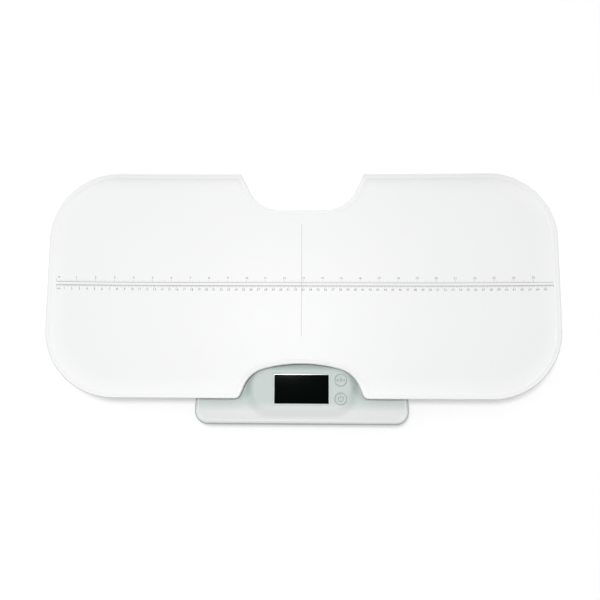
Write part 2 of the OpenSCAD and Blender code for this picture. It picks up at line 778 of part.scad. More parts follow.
module load_cell_front_left() { load_cell(foot_spots[0]); }
module load_cell_front_right() { load_cell(foot_spots[1]); }
module load_cell_rear_left() { load_cell(foot_spots[2]); }
module load_cell_rear_right() { load_cell(foot_spots[3]); }
module foot_cup_front_left() { foot_cup(foot_spots[0]); }
module foot_cup_front_right() { foot_cup(foot_spots[1]); }
module foot_cup_rear_left() { foot_cup(foot_spots[2]); }
module foot_cup_rear_right() { foot_cup(foot_spots[3]); }
module foot_pad_front_left() { foot_pad(foot_spots[0]); }
module foot_pad_front_right() { foot_pad(foot_spots[1]); }
module foot_pad_rear_left() { foot_pad(foot_spots[2]); }
module foot_pad_rear_right() { foot_pad(foot_spots[3]); }

// ---- Leads ----

// Flat leads from each load cell across the bottom cover's floor and up to the board;
// grow widens them into the channels that let them through the ribs
module lead_run(s, grow) {
    from_x = s.x * (abs(foot_at(s).x) - cell_side / 2 - 3);
    to_x = s.x * (s.y < 0 ? 24 : bay_half + bay_wall + 6);
    y = foot_at(s).y;
    end_y = board_rear - 6;
    z = [lead_z - grow, lead_z + lead_t + grow];
    span_x = [min(from_x, to_x - s.x * lead_w / 2) - grow, max(from_x, to_x - s.x * lead_w / 2) + grow];
    lane_x = [to_x - lead_w / 2 - grow, to_x + lead_w / 2 + grow];
    block(span_x, [y - lead_w / 2 - grow, y + lead_w / 2 + grow], z);
    block(lane_x, [min(y - lead_w / 2, end_y) - grow, max(y + lead_w / 2, end_y) + grow], z);
    if (grow == 0)
        block(lane_x, [end_y - lead_t, end_y], [lead_z, board_z]);
}

module sensor_leads() {
    color([0.8, 0.25, 0.2])
    for (s = foot_spots) lead_run(s, 0);
}

// ---- Bottom cover ----

module bottom_skin() {
    loft(concat(
        [for (t = [0 : 15 : 90])
            base_ring(bottom_edge_r * (1 - sin(t)), underside_z + bottom_edge_r * (1 - cos(t)))],
        [base_ring(0, parting_z)]));
}

module bottom_cover() {
    bay_outer_x = bay_half + bay_wall;
    color(mint)
    difference() {
        union() {
            difference() {
                bottom_skin();
                translate([0, 0, floor_z])
                    linear_extrude(parting_z - floor_z + over) base_plan(cover_wall);
            }
            // tongue
            translate([0, 0, parting_z - 3])
                linear_extrude(3 + tongue_h) difference() {
                    base_plan(cover_wall / 2 + tongue_gap);
                    base_plan(cover_wall + 0.9);
                }
            // screw pillars
            for (p = screw_spots) translate([p.x, p.y, underside_z + 1])
                cylinder(d = screw_head_d + 3.6, h = parting_z - underside_z - 1);
            // pockets and corner rests for the load cells
            for (s = foot_spots) translate([foot_at(s).x, foot_at(s).y, floor_z - 1]) cell_pocket();
            // battery bay
            block([-bay_outer_x, bay_outer_x], [bay_y - bay_wall, bay_end_y + bay_wall],
                  [floor_z - 1, bay_roof_z + bay_wall]);
            difference() {
                floor_ribs();
                for (s = foot_spots) {
                    lead_run(s, 0.4);
                    translate([foot_at(s).x, foot_at(s).y, parting_z / 2])
                        cube([cell_room, cell_room, parting_z], center = true);
                }
            }
        }
        for (s = foot_spots) translate([foot_at(s).x, foot_at(s).y, underside_z - over])
            cylinder(d = foot_cup_d + 2 * foot_gap, h = cover_wall + 2 * over);
        for (p = screw_spots) translate([p.x, p.y, underside_z - over]) {
            cylinder(d = screw_head_d + 0.6, h = screw_seat_z - underside_z + over);
            cylinder(d = screw_d + 4 * screw_gap, h = parting_z - underside_z + 2 * over);
        }
        battery_hollow();
    }
}

module cell_pocket() {
    wall = 1.4;
    h = cell_lift + cell_t + 1;
    difference() {
        linear_extrude(h) square(cell_room + 2 * wall, center = true);
        translate([0, 0, -over]) linear_extrude(h + 2 * over) square(cell_room, center = true);
    }
    for (x = [-1, 1], y = [-1, 1])
        translate([x * (cell_room / 2 - 2), y * (cell_room / 2 - 2), (1 + cell_lift) / 2])
            cube([5, 5, 1 + cell_lift], center = true);
}

// Low ribs on the floor, clear of the feet and the bay
module floor_ribs() {
    z = [floor_z - 1, floor_z + floor_rib_h];
    half = floor_rib_t / 2;
    for (y = [front_y + floor_rib_front, front_y + floor_rib_middle, bay_end_y + bay_wall / 2])
        block([2 - base_width / 2, base_width / 2 - 2], [y - half, y + half], z);
    for (x = [-floor_rib_x, floor_rib_x])
        block([x - half, x + half], [front_y + 2, rear_y - 2], z);
}

module battery_hollow() {
    pin_hole = hinge_pin_d + 2 * hinge_gap;
    // room for the barrel, then for the cells behind their bulkhead
    block([-bay_half, bay_half], [bay_y, bulkhead_y], [underside_z - over, bay_roof_z]);
    block([-bay_half, bay_half], [contact_y, bay_end_y], [underside_z - over, bay_roof_z]);
    // rebate and opening for the door
    block([-bay_half, bay_half], [bay_y, door_end_y + door_gap],
          [underside_z - over, underside_z + door_t + 0.2]);
    // hinge holes
    translate([-bay_half - hinge_pin_length - 0.3, barrel_y, barrel_z]) rotate([0, 90, 0])
        cylinder(d = pin_hole, h = 2 * (bay_half + hinge_pin_length + 0.3));
}

module cover_screws() {
    head_t = 2;
    color(steel)
    for (p = screw_spots) translate([p.x, p.y, screw_seat_z - head_t]) {
        cylinder(d = screw_head_d, h = head_t);
        cylinder(d = screw_d, h = screw_length + head_t);
    }
}

// ---- Batteries ----

// Cells lie head to tail, each between a spring at its flat end and a plate at its button
function battery_x(i) = (i - (cell_count - 1) / 2) * battery_pitch;
function faces_rear(i) = i % 2 == 0;

module battery_cells() {
    nub = [3.8, 1];
    color([0.2, 0.45, 0.3])
    for (i = [0 : cell_count - 1])
        translate([battery_x(i), faces_rear(i) ? contact_y + spring_h : bay_end_y - spring_h, battery_z])
        rotate([faces_rear(i) ? -90 : 90, 0, 0]) {
            cylinder(d = battery_d, h = battery_length - nub[1]);
            cylinder(d = nub[0], h = battery_length);
        }
}

// One ring of a cone spring's wire, at turn t of its height
function wire_ring(t, turns, r0, r1, sides) =
    let (r = r0 + (r1 - r0) * t, a = 360 * turns * t, w = spring_wire / 2,
         z = w + (spring_h - 2 * w) * t)
    [for (k = [0 : sides - 1]) let (b = 360 * k / sides, q = r + w * cos(b))
        [q * cos(a), q * sin(a), z + w * sin(b)]];

module cone_spring() {
    turns = 3;
    sides = 6;
    steps = turns * 14;
    rings = [for (i = [0 : steps]) wire_ring(i / steps, turns, spring_d / 2, spring_tip_d / 2, sides)];
    polyhedron(points = [for (r = rings) each r], faces = concat(
        [for (i = [0 : steps - 1], j = [0 : sides - 1])
            let (a = i * sides + j, b = i * sides + (j + 1) % sides)
            each [[a, a + sides, b], [b, a + sides, b + sides]]],
        [[for (j = [0 : sides - 1]) j], [for (j = [sides - 1 : -1 : 0]) steps * sides + j]]));
}

module battery_springs() {
    color(steel)
    for (i = [0 : cell_count - 1])
        translate([battery_x(i), faces_rear(i) ? contact_y : bay_end_y, battery_z])
        rotate([faces_rear(i) ? -90 : 90, 0, 0]) cone_spring();
}

module battery_plates() {
    color(steel)
    for (i = [0 : cell_count - 1])
        translate([battery_x(i) - contact_w / 2, faces_rear(i) ? bay_end_y - plate_t : contact_y,
                   battery_z - contact_h / 2])
            cube([contact_w, plate_t, contact_h]);
}

module battery_door() {
    x = bay_half - door_gap;
    latch_w = 14;
    color(mint) {
        difference() {
            union() {
                block([-x, x], [barrel_y, door_end_y], [underside_z, underside_z + door_t]);
                translate([-x, barrel_y, barrel_z]) rotate([0, 90, 0]) cylinder(r = barrel_r, h = 2 * x);
            }
            // thumb grooves beside the latch
            for (k = [0 : 3]) translate([-latch_w / 2, door_end_y - 5 - 2.4 * k, underside_z - 0.4])
                cube([latch_w, 1, 1]);
        }
        translate([-x - hinge_pin_length, barrel_y, barrel_z]) rotate([0, 90, 0])
            cylinder(d = hinge_pin_d, h = 2 * (x + hinge_pin_length));
    }
}

tray();
tray_seats();
top_cover();
display_window();
lcd_cell();
lcd_frame();
main_board();
board_screws();
push_switches();
zero_button();
zero_plunger();
power_button();
power_plunger();
load_cell_front_left();
load_cell_front_right();
load_cell_rear_left();
load_cell_rear_right();
foot_cup_front_left();
foot_cup_front_right();
foot_cup_rear_left();
foot_cup_rear_right();
foot_pad_front_left();
foot_pad_front_right();
foot_pad_rear_left();
foot_pad_rear_right();
sensor_leads();
bottom_cover();
cover_screws();
battery_cells();
battery_springs();
battery_plates();
battery_door();
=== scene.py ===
# Looks of a digital baby weighing scale: cradle tray with its ruler, weighing base and console.
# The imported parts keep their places. Lengths in the settings are in millimetres, angles in degrees.
import math

import bmesh
import bpy
from mathutils import Matrix, Vector


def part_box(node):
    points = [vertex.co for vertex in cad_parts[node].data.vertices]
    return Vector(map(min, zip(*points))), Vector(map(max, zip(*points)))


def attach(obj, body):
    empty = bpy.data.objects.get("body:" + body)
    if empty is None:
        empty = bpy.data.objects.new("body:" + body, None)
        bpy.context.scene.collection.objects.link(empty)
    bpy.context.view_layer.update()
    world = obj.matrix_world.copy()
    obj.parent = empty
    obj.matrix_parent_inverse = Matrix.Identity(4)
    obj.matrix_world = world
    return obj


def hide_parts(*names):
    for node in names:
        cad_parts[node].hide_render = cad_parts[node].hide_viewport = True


print("loading the packed frame")
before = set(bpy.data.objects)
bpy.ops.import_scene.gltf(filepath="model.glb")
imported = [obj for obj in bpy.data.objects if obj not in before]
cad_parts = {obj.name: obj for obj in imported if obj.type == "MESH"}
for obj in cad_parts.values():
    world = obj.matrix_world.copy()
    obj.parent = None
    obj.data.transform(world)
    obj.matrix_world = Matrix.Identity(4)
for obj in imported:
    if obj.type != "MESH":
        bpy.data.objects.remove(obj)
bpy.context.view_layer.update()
mm = 0.001


# bmesh helpers, with sizes in millimetres

def finishPiece(bm, name, *materials, sharpAngle=35, recalc=True):
    if recalc:
        bmesh.ops.recalc_face_normals(bm, faces=bm.faces)
    for face in bm.faces:
        face.smooth = True
    mesh = bpy.data.meshes.new(name)
    bm.to_mesh(mesh)
    bm.free()
    mesh.set_sharp_from_angle(angle=math.radians(sharpAngle))
    piece = bpy.data.objects.new(name, mesh)
    bpy.context.scene.collection.objects.link(piece)
    for material in materials:
        mesh.materials.append(material)
    return piece


def wallModifier(piece, thickness, offset=-1.0, even=True):
    wall = piece.modifiers.new("wall", "SOLIDIFY")
    wall.thickness = thickness * mm
    wall.offset = offset
    wall.use_even_offset = even


def penStart(bm, x, y):
    return bmesh.ops.create_vert(bm, co=(x * mm, y * mm, 0))["vert"][0]


def penLine(bm, vert, x, y):
    end = bmesh.ops.extrude_vert_indiv(bm, verts=[vert])["verts"][0]
    end.co = (x * mm, y * mm, vert.co.z)
    return end


def penArc(bm, vert, centre, degrees, steps):
    turned = bmesh.ops.spin(bm, geom=[vert], cent=(centre[0] * mm, centre[1] * mm, vert.co.z),
                            axis=(0, 0, 1), angle=math.radians(degrees), steps=steps)
    return [g for g in turned["geom_last"] if isinstance(g, bmesh.types.BMVert)][0]


def roundedRing(bm, width, depth, radius, centre, height, segments=12):
    before = set(bm.faces)
    verts = bmesh.ops.create_grid(bm, x_segments=1, y_segments=1, size=0.5)["verts"]
    bmesh.ops.scale(bm, vec=(width * mm, depth * mm, 1), verts=verts)
    bmesh.ops.translate(bm, vec=(centre[0] * mm, centre[1] * mm, height * mm), verts=verts)
    bmesh.ops.bevel(bm, geom=verts, affect="VERTICES", offset=radius * mm, segments=segments,
                    profile=0.5, material=-1)
    face = [f for f in bm.faces if f not in before][0]
    edges = list(face.edges)
    bmesh.ops.delete(bm, geom=[face], context="FACES_ONLY")
    return edges


def roundRing(bm, radius, centre, height, segments=48):
    verts = bmesh.ops.create_circle(bm, radius=radius * mm, segments=segments)["verts"]
    bmesh.ops.translate(bm, vec=(centre[0] * mm, centre[1] * mm, height * mm), verts=verts)
    return list({edge for vert in verts for edge in vert.link_edges})


def bridgeAll(bm, rings):
    for low, high in zip(rings, rings[1:]):
        bmesh.ops.bridge_loops(bm, edges=low + high)


def moveUp(bm, verts, height):
    bmesh.ops.translate(bm, vec=(0, 0, height * mm), verts=verts)


def newVerts(made):
    return [g for g in made["geom"] if isinstance(g, bmesh.types.BMVert)]


def roundedSheet(bm, radius, steps, beadAt, beadWidth, ramp=0.4):
    # insets a flat sheet for a rounded edge and a low bead, kept as masks for heights and for the console's
    # painted highlight and painted shade
    drop, rimLine = bm.verts.layers.float.new("drop"), bm.verts.layers.float.new("rim")
    inner = bm.faces[:]
    if inner[0].normal.z < 0:
        bmesh.ops.reverse_faces(bm, faces=inner)
    turns = [math.radians(90 * i / steps) for i in range(1, steps + 1)]
    rings = [(radius * (1 - math.cos(turn)), radius * (1 - math.sin(turn)), 0) for turn in turns]
    rings += [(beadAt - ramp, 0, 0), (beadAt, 0, 1), (beadAt + beadWidth, 0, 1),
              (beadAt + beadWidth + ramp, 0, 0)]
    reached = 0
    for inset, depth, onBead in rings:
        bmesh.ops.inset_region(bm, faces=inner, thickness=(inset - reached) * mm, use_boundary=True,
                               use_even_offset=True)
        reached = inset
        for vert in inner[0].verts:
            vert[drop], vert[rimLine] = depth, onBead
    for vert in bm.verts:
        if vert.is_boundary:
            vert[drop] = radius
    return drop, rimLine


def cutGrid(bm, columns, rows):
    cuts = [((x, 0), (1, 0, 0)) for x in columns] + [((0, y), (0, 1, 0)) for y in rows]
    for (x, y), normal in cuts:
        bmesh.ops.bisect_plane(bm, geom=bm.verts[:] + bm.edges[:] + bm.faces[:], dist=1e-6,
                               plane_co=(x * mm, y * mm, 0), plane_no=normal)


def spread(low, high, step):
    count = max(1, round((high - low) / step))
    return [low + (high - low) * i / count for i in range(count)]


def openPatch(bm, covers):
    # takes out the faces whose middles are covered, and returns the edges round the hole
    gone = {face for face in bm.faces if covers(*(face.calc_center_median().xy / mm))}
    rim = [edge for edge in bm.edges if len(gone.intersection(edge.link_faces)) == 1]
    bmesh.ops.delete(bm, geom=list(gone), context="FACES_ONLY")
    inside = [edge for edge in bm.edges if not edge.link_faces and edge not in rim]
    bmesh.ops.delete(bm, geom=inside, context="EDGES")
    return rim


def borderPatch(bm, rim, rings):
    # joins the rings of an opening and fills the sheet up to the first of them
    bridgeAll(bm, rings)
    fillFlat(bm, rim, rings[0])


def fillFlat(bm, *rings):
    bmesh.ops.triangle_fill(bm, use_beauty=True, edges=[edge for ring in rings for edge in ring])


def spunProfile(bm, points, centre, segments=64):
    # points are (radius, height) from the middle of one end to the middle of the other
    verts = [bmesh.ops.create_vert(bm, co=((centre[0] + r) * mm, centre[1] * mm, z * mm))["vert"][0]
             for r, z in points]
    edges = [bm.edges.new(pair) for pair in zip(verts, verts[1:])]
    bmesh.ops.spin(bm, geom=verts + edges, cent=(centre[0] * mm, centre[1] * mm, 0),
                   axis=(0, 0, 1), angle=math.tau, steps=segments, use_merge=True)


# shader node groups and materials

def newGroup(name, inputs, outputs):
    group = bpy.data.node_groups.new(name, "ShaderNodeTree")
    for label, kind, value in inputs:
        socket = group.interface.new_socket(name=label, in_out="INPUT", socket_type=kind)
        socket.default_value = value
    for label, kind in outputs:
        group.interface.new_socket(name=label, in_out="OUTPUT", socket_type=kind)
    return group, group.nodes.new("NodeGroupInput"), group.nodes.new("NodeGroupOutput")


def addNode(tree, kind, **values):
    node = tree.nodes.new(kind)
    for name, value in values.items():
        if hasattr(node, name):
            setattr(node, name, value)
        else:
            node.inputs[name.replace("_", " ")].default_value = value
    return node


def makeMouldedGroup():
    group, ins, outs = newGroup(
        "moulded_plastic",
        [("Colour", "NodeSocketColor", (0.8, 0.8, 0.8, 1)), ("Tint", "NodeSocketColor", (0.7, 0.7, 0.7, 1)),
         ("Tone", "NodeSocketFloat", 0.1), ("Gloss", "NodeSocketFloat", 0.3),
         ("Haze", "NodeSocketFloat", 0.06), ("Grain Size", "NodeSocketFloat", 900.0)],
        [("Colour", "NodeSocketColor"), ("Roughness", "NodeSocketFloat"), ("Height", "NodeSocketFloat")])
    coords = addNode(group, "ShaderNodeTexCoord")
    cloud = addNode(group, "ShaderNodeTexNoise", Scale=9.0, Detail=4.0, Roughness=0.6)
    grain = addNode(group, "ShaderNodeTexNoise", Detail=3.0, Roughness=0.55)
    wipe = addNode(group, "ShaderNodeTexNoise", Scale=60.0, Detail=2.0, Distortion=0.6)
    tone = addNode(group, "ShaderNodeMath", operation="MULTIPLY")
    mix = addNode(group, "ShaderNodeMix", data_type="RGBA")
    haze = addNode(group, "ShaderNodeMath", operation="MULTIPLY_ADD")
    link = group.links.new
    for noise in (cloud, grain, wipe):
        link(coords.outputs["Object"], noise.inputs["Vector"])
    link(ins.outputs["Grain Size"], grain.inputs["Scale"])
    link(cloud.outputs["Fac"], tone.inputs[0])
    link(ins.outputs["Tone"], tone.inputs[1])
    link(tone.outputs[0], mix.inputs["Factor"])
    link(ins.outputs["Colour"], mix.inputs[6])
    link(ins.outputs["Tint"], mix.inputs[7])
    link(mix.outputs[2], outs.inputs["Colour"])
    link(wipe.outputs["Fac"], haze.inputs[0])
    link(ins.outputs["Haze"], haze.inputs[1])
    link(ins.outputs["Gloss"], haze.inputs[2])
    link(haze.outputs[0], outs.inputs["Roughness"])
    link(grain.outputs["Fac"], outs.inputs["Height"])
    return group


def newMaterial(name):
    material = bpy.data.materials.new(name)
    material.use_nodes = True
    return material, material.node_tree, material.node_tree.nodes["Principled BSDF"]


def plastic(name, colour, tint, tone=0.5, gloss=0.3, haze=0.06, grain=900.0, bump=0.02, coat=0.0,
            specular=0.5, metallic=0.0):
    material, tree, shader = newMaterial(name)
    use = addNode(tree, "ShaderNodeGroup")
    use.node_tree = mouldedGroup
    for label, value in (("Colour", (*colour, 1)), ("Tint", (*tint, 1)), ("Tone", tone),
                         ("Gloss", gloss), ("Haze", haze), ("Grain Size", grain)):
        use.inputs[label].default_value = value
    height = addNode(tree, "ShaderNodeBump", Strength=bump, Distance=0.0004)
    tree.links.new(use.outputs["Colour"], shader.inputs["Base Color"])
    tree.links.new(use.outputs["Roughness"], shader.inputs["Roughness"])
    tree.links.new(use.outputs["Height"], height.inputs["Height"])
    tree.links.new(height.outputs[0], shader.inputs["Normal"])
    shader.inputs["Specular IOR Level"].default_value = specular
    shader.inputs["Coat Weight"].default_value = coat
    shader.inputs["Coat Roughness"].default_value = 0.08
    shader.inputs["Metallic"].default_value = metallic
    return material


# painted light and shade for the console's colour: a lighter front ledge strip, a highlight line on the
# bead and shade on the rounded edge
consolePaintedLightAndShade = {
    "stripFront": -154,
    "stripRear": -136,
    "stripLow": 32,
    "stripHigh": 35,
    "stripPaintedLight": (0.85, 0.875, 0.865),
    "beadPaintedHighlight": (0.96, 0.97, 0.965),
    "beadHighlightWeight": 0.65,
    "edgePaintedShade": (0.3, 0.35, 0.335),
    "edgeShadeWeight": 0.45,
    "edgeRadius": 3.8,
    "edgeShadeRamp": ((0.08, 0), (0.3, 1), (0.8, 0.9)),
    "edgeShadeFoot": 0.1,
}


def consoleTone(material, s):
    # painted light and shade on the console: a paler strip along the front ledge as painted light, a bright
    # bead line as a painted highlight and a darker rounded edge as painted shade
    tree, shader = material.node_tree, material.node_tree.nodes["Principled BSDF"]
    base = shader.inputs["Base Color"].links[0].from_socket
    coords = addNode(tree, "ShaderNodeTexCoord")
    split = addNode(tree, "ShaderNodeSeparateXYZ")
    # painted light: the front ledge strip is made paler
    ahead = addNode(tree, "ShaderNodeMapRange", interpolation_type="SMOOTHSTEP",
                    From_Min=s["stripRear"] * mm, From_Max=s["stripFront"] * mm)
    above = addNode(tree, "ShaderNodeMapRange", interpolation_type="SMOOTHSTEP",
                    From_Min=s["stripLow"] * mm, From_Max=s["stripHigh"] * mm)
    both = addNode(tree, "ShaderNodeMath", operation="MULTIPLY")
    lighter = addNode(tree, "ShaderNodeMix", data_type="RGBA")
    lighter.inputs[7].default_value = (*s["stripPaintedLight"], 1)
    # painted highlight: a bright line along the real low bead
    rimLine = addNode(tree, "ShaderNodeAttribute", attribute_name="rim")
    weight = addNode(tree, "ShaderNodeMath", operation="MULTIPLY")
    weight.inputs[1].default_value = s["beadHighlightWeight"]
    bright = addNode(tree, "ShaderNodeMix", data_type="RGBA")
    bright.inputs[7].default_value = (*s["beadPaintedHighlight"], 1)
    # painted shade: the rounded outer edge is darkened by its depth
    edge = addNode(tree, "ShaderNodeAttribute", attribute_name="drop")
    share = addNode(tree, "ShaderNodeMapRange", From_Max=s["edgeRadius"], To_Max=1.0)
    ramp = addNode(tree, "ShaderNodeValToRGB")
    for place, value in s["edgeShadeRamp"]:
        step = ramp.color_ramp.elements.new(place)
        step.color = (value, value, value, 1)
    ramp.color_ramp.elements[-1].color = (s["edgeShadeFoot"],) * 3 + (1,)
    depth = addNode(tree, "ShaderNodeMath", operation="MULTIPLY")
    depth.inputs[1].default_value = s["edgeShadeWeight"]
    darker = addNode(tree, "ShaderNodeMix", data_type="RGBA")
    darker.inputs[7].default_value = (*s["edgePaintedShade"], 1)
    link = tree.links.new
    link(coords.outputs["Object"], split.inputs[0])
    link(split.outputs["Y"], ahead.inputs["Value"])
    link(split.outputs["Z"], above.inputs["Value"])
    link(ahead.outputs["Result"], both.inputs[0])
    link(above.outputs["Result"], both.inputs[1])
    link(both.outputs[0], lighter.inputs["Factor"])
    link(base, lighter.inputs[6])
    link(rimLine.outputs["Fac"], weight.inputs[0])
    link(weight.outputs[0], bright.inputs["Factor"])
    link(lighter.outputs[2], bright.inputs[6])
    link(edge.outputs["Fac"], share.inputs["Value"])
    link(share.outputs["Result"], ramp.inputs["Fac"])
    link(ramp.outputs["Color"], depth.inputs[0])
    link(depth.outputs[0], darker.inputs["Factor"])
    link(bright.outputs[2], darker.inputs[6])
    link(darker.outputs[2], shader.inputs["Base Color"])
    return material


print("materials")
mouldedGroup = makeMouldedGroup()
trayWhite = plastic("tray_white", (0.968, 0.971, 0.97), (0.94, 0.948, 0.952), gloss=0.4, specular=0.25)
mint = {"colour": (0.62, 0.69, 0.67), "tint": (0.6, 0.67, 0.65), "gloss": 0.5, "specular": 0.35}
shellMint = plastic("shell_mint", **mint)
# the console's material carries painted light on the ledge strip, a painted highlight on the bead and
# painted shade on the rounded edge
consoleMintWithPaintedLight = consoleTone(plastic("console_mint_painted_light", **mint), consolePaintedLightAndShade)
buttonMint = plastic("button_mint", (0.6, 0.67, 0.645), (0.58, 0.65, 0.625), gloss=0.5, bump=0.04,
                     specular=0.35)
windowBlack = plastic("window_black", (0.0002, 0.0018, 0.001), (0.0001, 0.001, 0.0006), gloss=0.06,
                      haze=0.02, bump=0.0, specular=0.02)
windowBorder = plastic("window_border", (0.8, 0.88, 0.84), (0.77, 0.86, 0.82), gloss=0.08, bump=0.0)
printGrey = plastic("print_grey", (0.2, 0.205, 0.21), (0.26, 0.26, 0.27), gloss=0.5, bump=0.05)
iconGrey = plastic("icon_grey", (0.26, 0.32, 0.3), (0.22, 0.28, 0.26), gloss=0.5)
innerWhite = plastic("inner_white", (0.8, 0.81, 0.79), (0.75, 0.76, 0.74), gloss=0.5, bump=0.08)
darkPlastic = plastic("dark_plastic", (0.02, 0.02, 0.022), (0.03, 0.03, 0.032), gloss=0.4)
redPlastic = plastic("red_plastic", (0.42, 0.03, 0.02), (0.35, 0.025, 0.02), gloss=0.4)
glassGreen = plastic("crystal_cell", (0.05, 0.065, 0.055), (0.04, 0.055, 0.045), gloss=0.1)
boardGreen = plastic("board_green", (0.02, 0.14, 0.06), (0.015, 0.1, 0.045), gloss=0.35, grain=500)
steelGrey = plastic("bright_steel", (0.6, 0.61, 0.62), (0.5, 0.51, 0.53), gloss=0.28, metallic=1.0,
                    grain=2500)
siliconeGrey = plastic("soft_silicone", (0.5, 0.53, 0.53), (0.46, 0.49, 0.49), gloss=0.6, bump=0.1)
rubberGrey = plastic("foot_rubber", (0.2, 0.215, 0.22), (0.15, 0.16, 0.165), gloss=0.7, bump=0.3)
leadRed = plastic("lead_red", (0.4, 0.04, 0.03), (0.32, 0.03, 0.025), gloss=0.45)
sleeveGreen = plastic("battery_sleeve", (0.03, 0.13, 0.06), (0.025, 0.1, 0.05), gloss=0.2)

# camera, light and floor

cameraSetup = {
    "place": (17, -115.8, 928.9),
    "target": (-2.5, -4, 44),
    "roll": 0.29,
    "lens": 40,
}


def makeCamera(s):
    # the picture's upright direction follows y, apart from the roll
    place, target = Vector(s["place"]) * mm, Vector(s["target"]) * mm
    back = (place - target).normalized()
    right = Vector((0, 1, 0)).cross(back).normalized()
    up = back.cross(right)
    turn = Matrix((right, up, back)).transposed()
    data = bpy.data.cameras.new("camera")
    data.lens = s["lens"]
    camera = bpy.data.objects.new("camera", data)
    camera.matrix_world = (Matrix.Translation(place) @ turn.to_4x4()
                           @ Matrix.Rotation(math.radians(s["roll"]), 4, "Z"))
    bpy.context.scene.collection.objects.link(camera)
    bpy.context.scene.camera = camera


lightSetup = {
    "sky": 0.5,
    "zenith": 0.34,
    "rearward": 0.34,
    "keyPlace": (-75, 52, 1500),
    "keySize": 255,
    "keyPower": 10.9,
    "fillPlace": (-1100, 200, 1700),
    "fillSize": 1400,
    "fillPower": 0.8,
    "floorColour": 0.74,
    "floorLift": 0.43,
    "floorSize": 6000,
}


def areaLight(name, place, size, power):
    data = bpy.data.lights.new(name, "AREA")
    data.shape = "DISK"
    data.size = size * mm
    data.energy = power
    light = bpy.data.objects.new(name, data)
    spot = Vector(place) * mm
    light.location = spot
    light.rotation_euler = spot.to_track_quat("Z", "Y").to_euler()
    bpy.context.scene.collection.objects.link(light)


def seenDirectly(tree):
    # 1 for what the camera sees itself, in a reflection or through something clear
    path = addNode(tree, "ShaderNodeLightPath")
    mirror = addNode(tree, "ShaderNodeMath", operation="ADD")
    clear = addNode(tree, "ShaderNodeMath", operation="ADD", use_clamp=True)
    tree.links.new(path.outputs["Is Camera Ray"], mirror.inputs[0])
    tree.links.new(path.outputs["Is Glossy Ray"], mirror.inputs[1])
    tree.links.new(mirror.outputs[0], clear.inputs[0])
    tree.links.new(path.outputs["Is Transmission Ray"], clear.inputs[1])
    return clear.outputs[0]


def makeWorld(s):
    world = bpy.data.worlds.new("studio")
    bpy.context.scene.world = world
    world.use_nodes = True
    tree = world.node_tree
    back = tree.nodes["Background"]
    back.inputs["Color"].default_value = (1, 1, 1, 1)
    coords = addNode(tree, "ShaderNodeTexCoord")
    split = addNode(tree, "ShaderNodeSeparateXYZ")
    ramp = addNode(tree, "ShaderNodeMapRange", From_Min=0.1, From_Max=1.0, To_Min=s["sky"],
                   To_Max=s["zenith"])
    lean = addNode(tree, "ShaderNodeMath", operation="MULTIPLY_ADD")
    lean.inputs[1].default_value = s["rearward"]
    pick = addNode(tree, "ShaderNodeMix")
    pick.inputs[3].default_value = 1
    tree.links.new(coords.outputs["Generated"], split.inputs[0])
    tree.links.new(split.outputs["Z"], ramp.inputs["Value"])
    tree.links.new(seenDirectly(tree), pick.inputs[0])
    tree.links.new(split.outputs["Y"], lean.inputs[0])
    tree.links.new(ramp.outputs["Result"], lean.inputs[2])
    tree.links.new(lean.outputs[0], pick.inputs[2])
    tree.links.new(pick.outputs[0], back.inputs["Strength"])


def makeFloor(s):
    bm = bmesh.new()
    bmesh.ops.create_grid(bm, x_segments=2, y_segments=2, size=s["floorSize"] * mm / 2)
    material, tree, shader = newMaterial("floor_paper")
    shader.inputs["Base Color"].default_value = (s["floorColour"],) * 3 + (1,)
    shader.inputs["Roughness"].default_value = 0.9
    shader.inputs["Specular IOR Level"].default_value = 0
    shader.inputs["Emission Color"].default_value = (1, 1, 1, 1)
    lift = addNode(tree, "ShaderNodeMath", operation="MULTIPLY")
    lift.inputs[1].default_value = s["floorLift"]
    tree.links.new(seenDirectly(tree), lift.inputs[0])
    tree.links.new(lift.outputs[0], shader.inputs["Emission Strength"])
    finishPiece(bm, "floor", material)


print("camera, light and floor")
makeCamera(cameraSetup)
makeWorld(lightSetup)
areaLight("key", lightSetup["keyPlace"], lightSetup["keySize"], lightSetup["keyPower"])
areaLight("fill", lightSetup["fillPlace"], lightSetup["fillSize"], lightSetup["fillPower"])
makeFloor(lightSetup)
bpy.context.scene.view_settings.view_transform = "Standard"

# cradle tray

trayLow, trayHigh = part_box("tray")
traySettings = {
    "length": (trayHigh.x - trayLow.x) / mm,
    "depth": (trayHigh.y - trayLow.y) / mm,
    "middleY": (trayHigh.y + trayLow.y) / 2 / mm,
    "cornerRadius": 92,
    "surface": 44,
    "endRise": 9.7,
    "levelLength": 280,
    "frontLip": 3,
    "rearLip": 6.5,
    "endLip": 2,
    "lipWidth": 27,
    "rim": 7,
    "edgeRadius": 2,
    "edgeSteps": 6,
    "cornerSteps": 36,
    "bead": 0.15,
    "beadAt": 5.4,
    "beadWidth": 1.2,
    "skin": 2.4,
    "gridStep": 3.5,
    "archDepth": 46,
    "archRadius": 190,
    "archAngle": 15.3,
    "archSteps": 14,
    "shoulderRadius": 40,
    "shoulderSteps": 16,
    "archLean": 68,
    "flareRadius": 8,
    "flareSteps": 10,
    "notchDepth": 49,
    "notchFlat": 60,
    "notchRadius": 48,
    "notchSteps": 20,
    "notchLean": 65,
    "ribX": (84, 150, 215, 280),
    "ribY": (-45, 71),
    "ribThickness": 2,
    "ribLift": 1.5,
    "postSpots": [(x, y) for x in (-84, 84) for y in (-45, 71)],
    "postRadius": 10,
    "postFoot": 31.5,
    "postEdge": 0.4,
    "pegRadius": 4.5,
    "pegTip": 24.5,
    "pegTaper": 1.2,
    "gussetReach": 7,
    "gussetLift": 1.5,
    "gussetHalf": 0.8,
    "overlap": 1,  # how far posts and gussets run into what they join
}


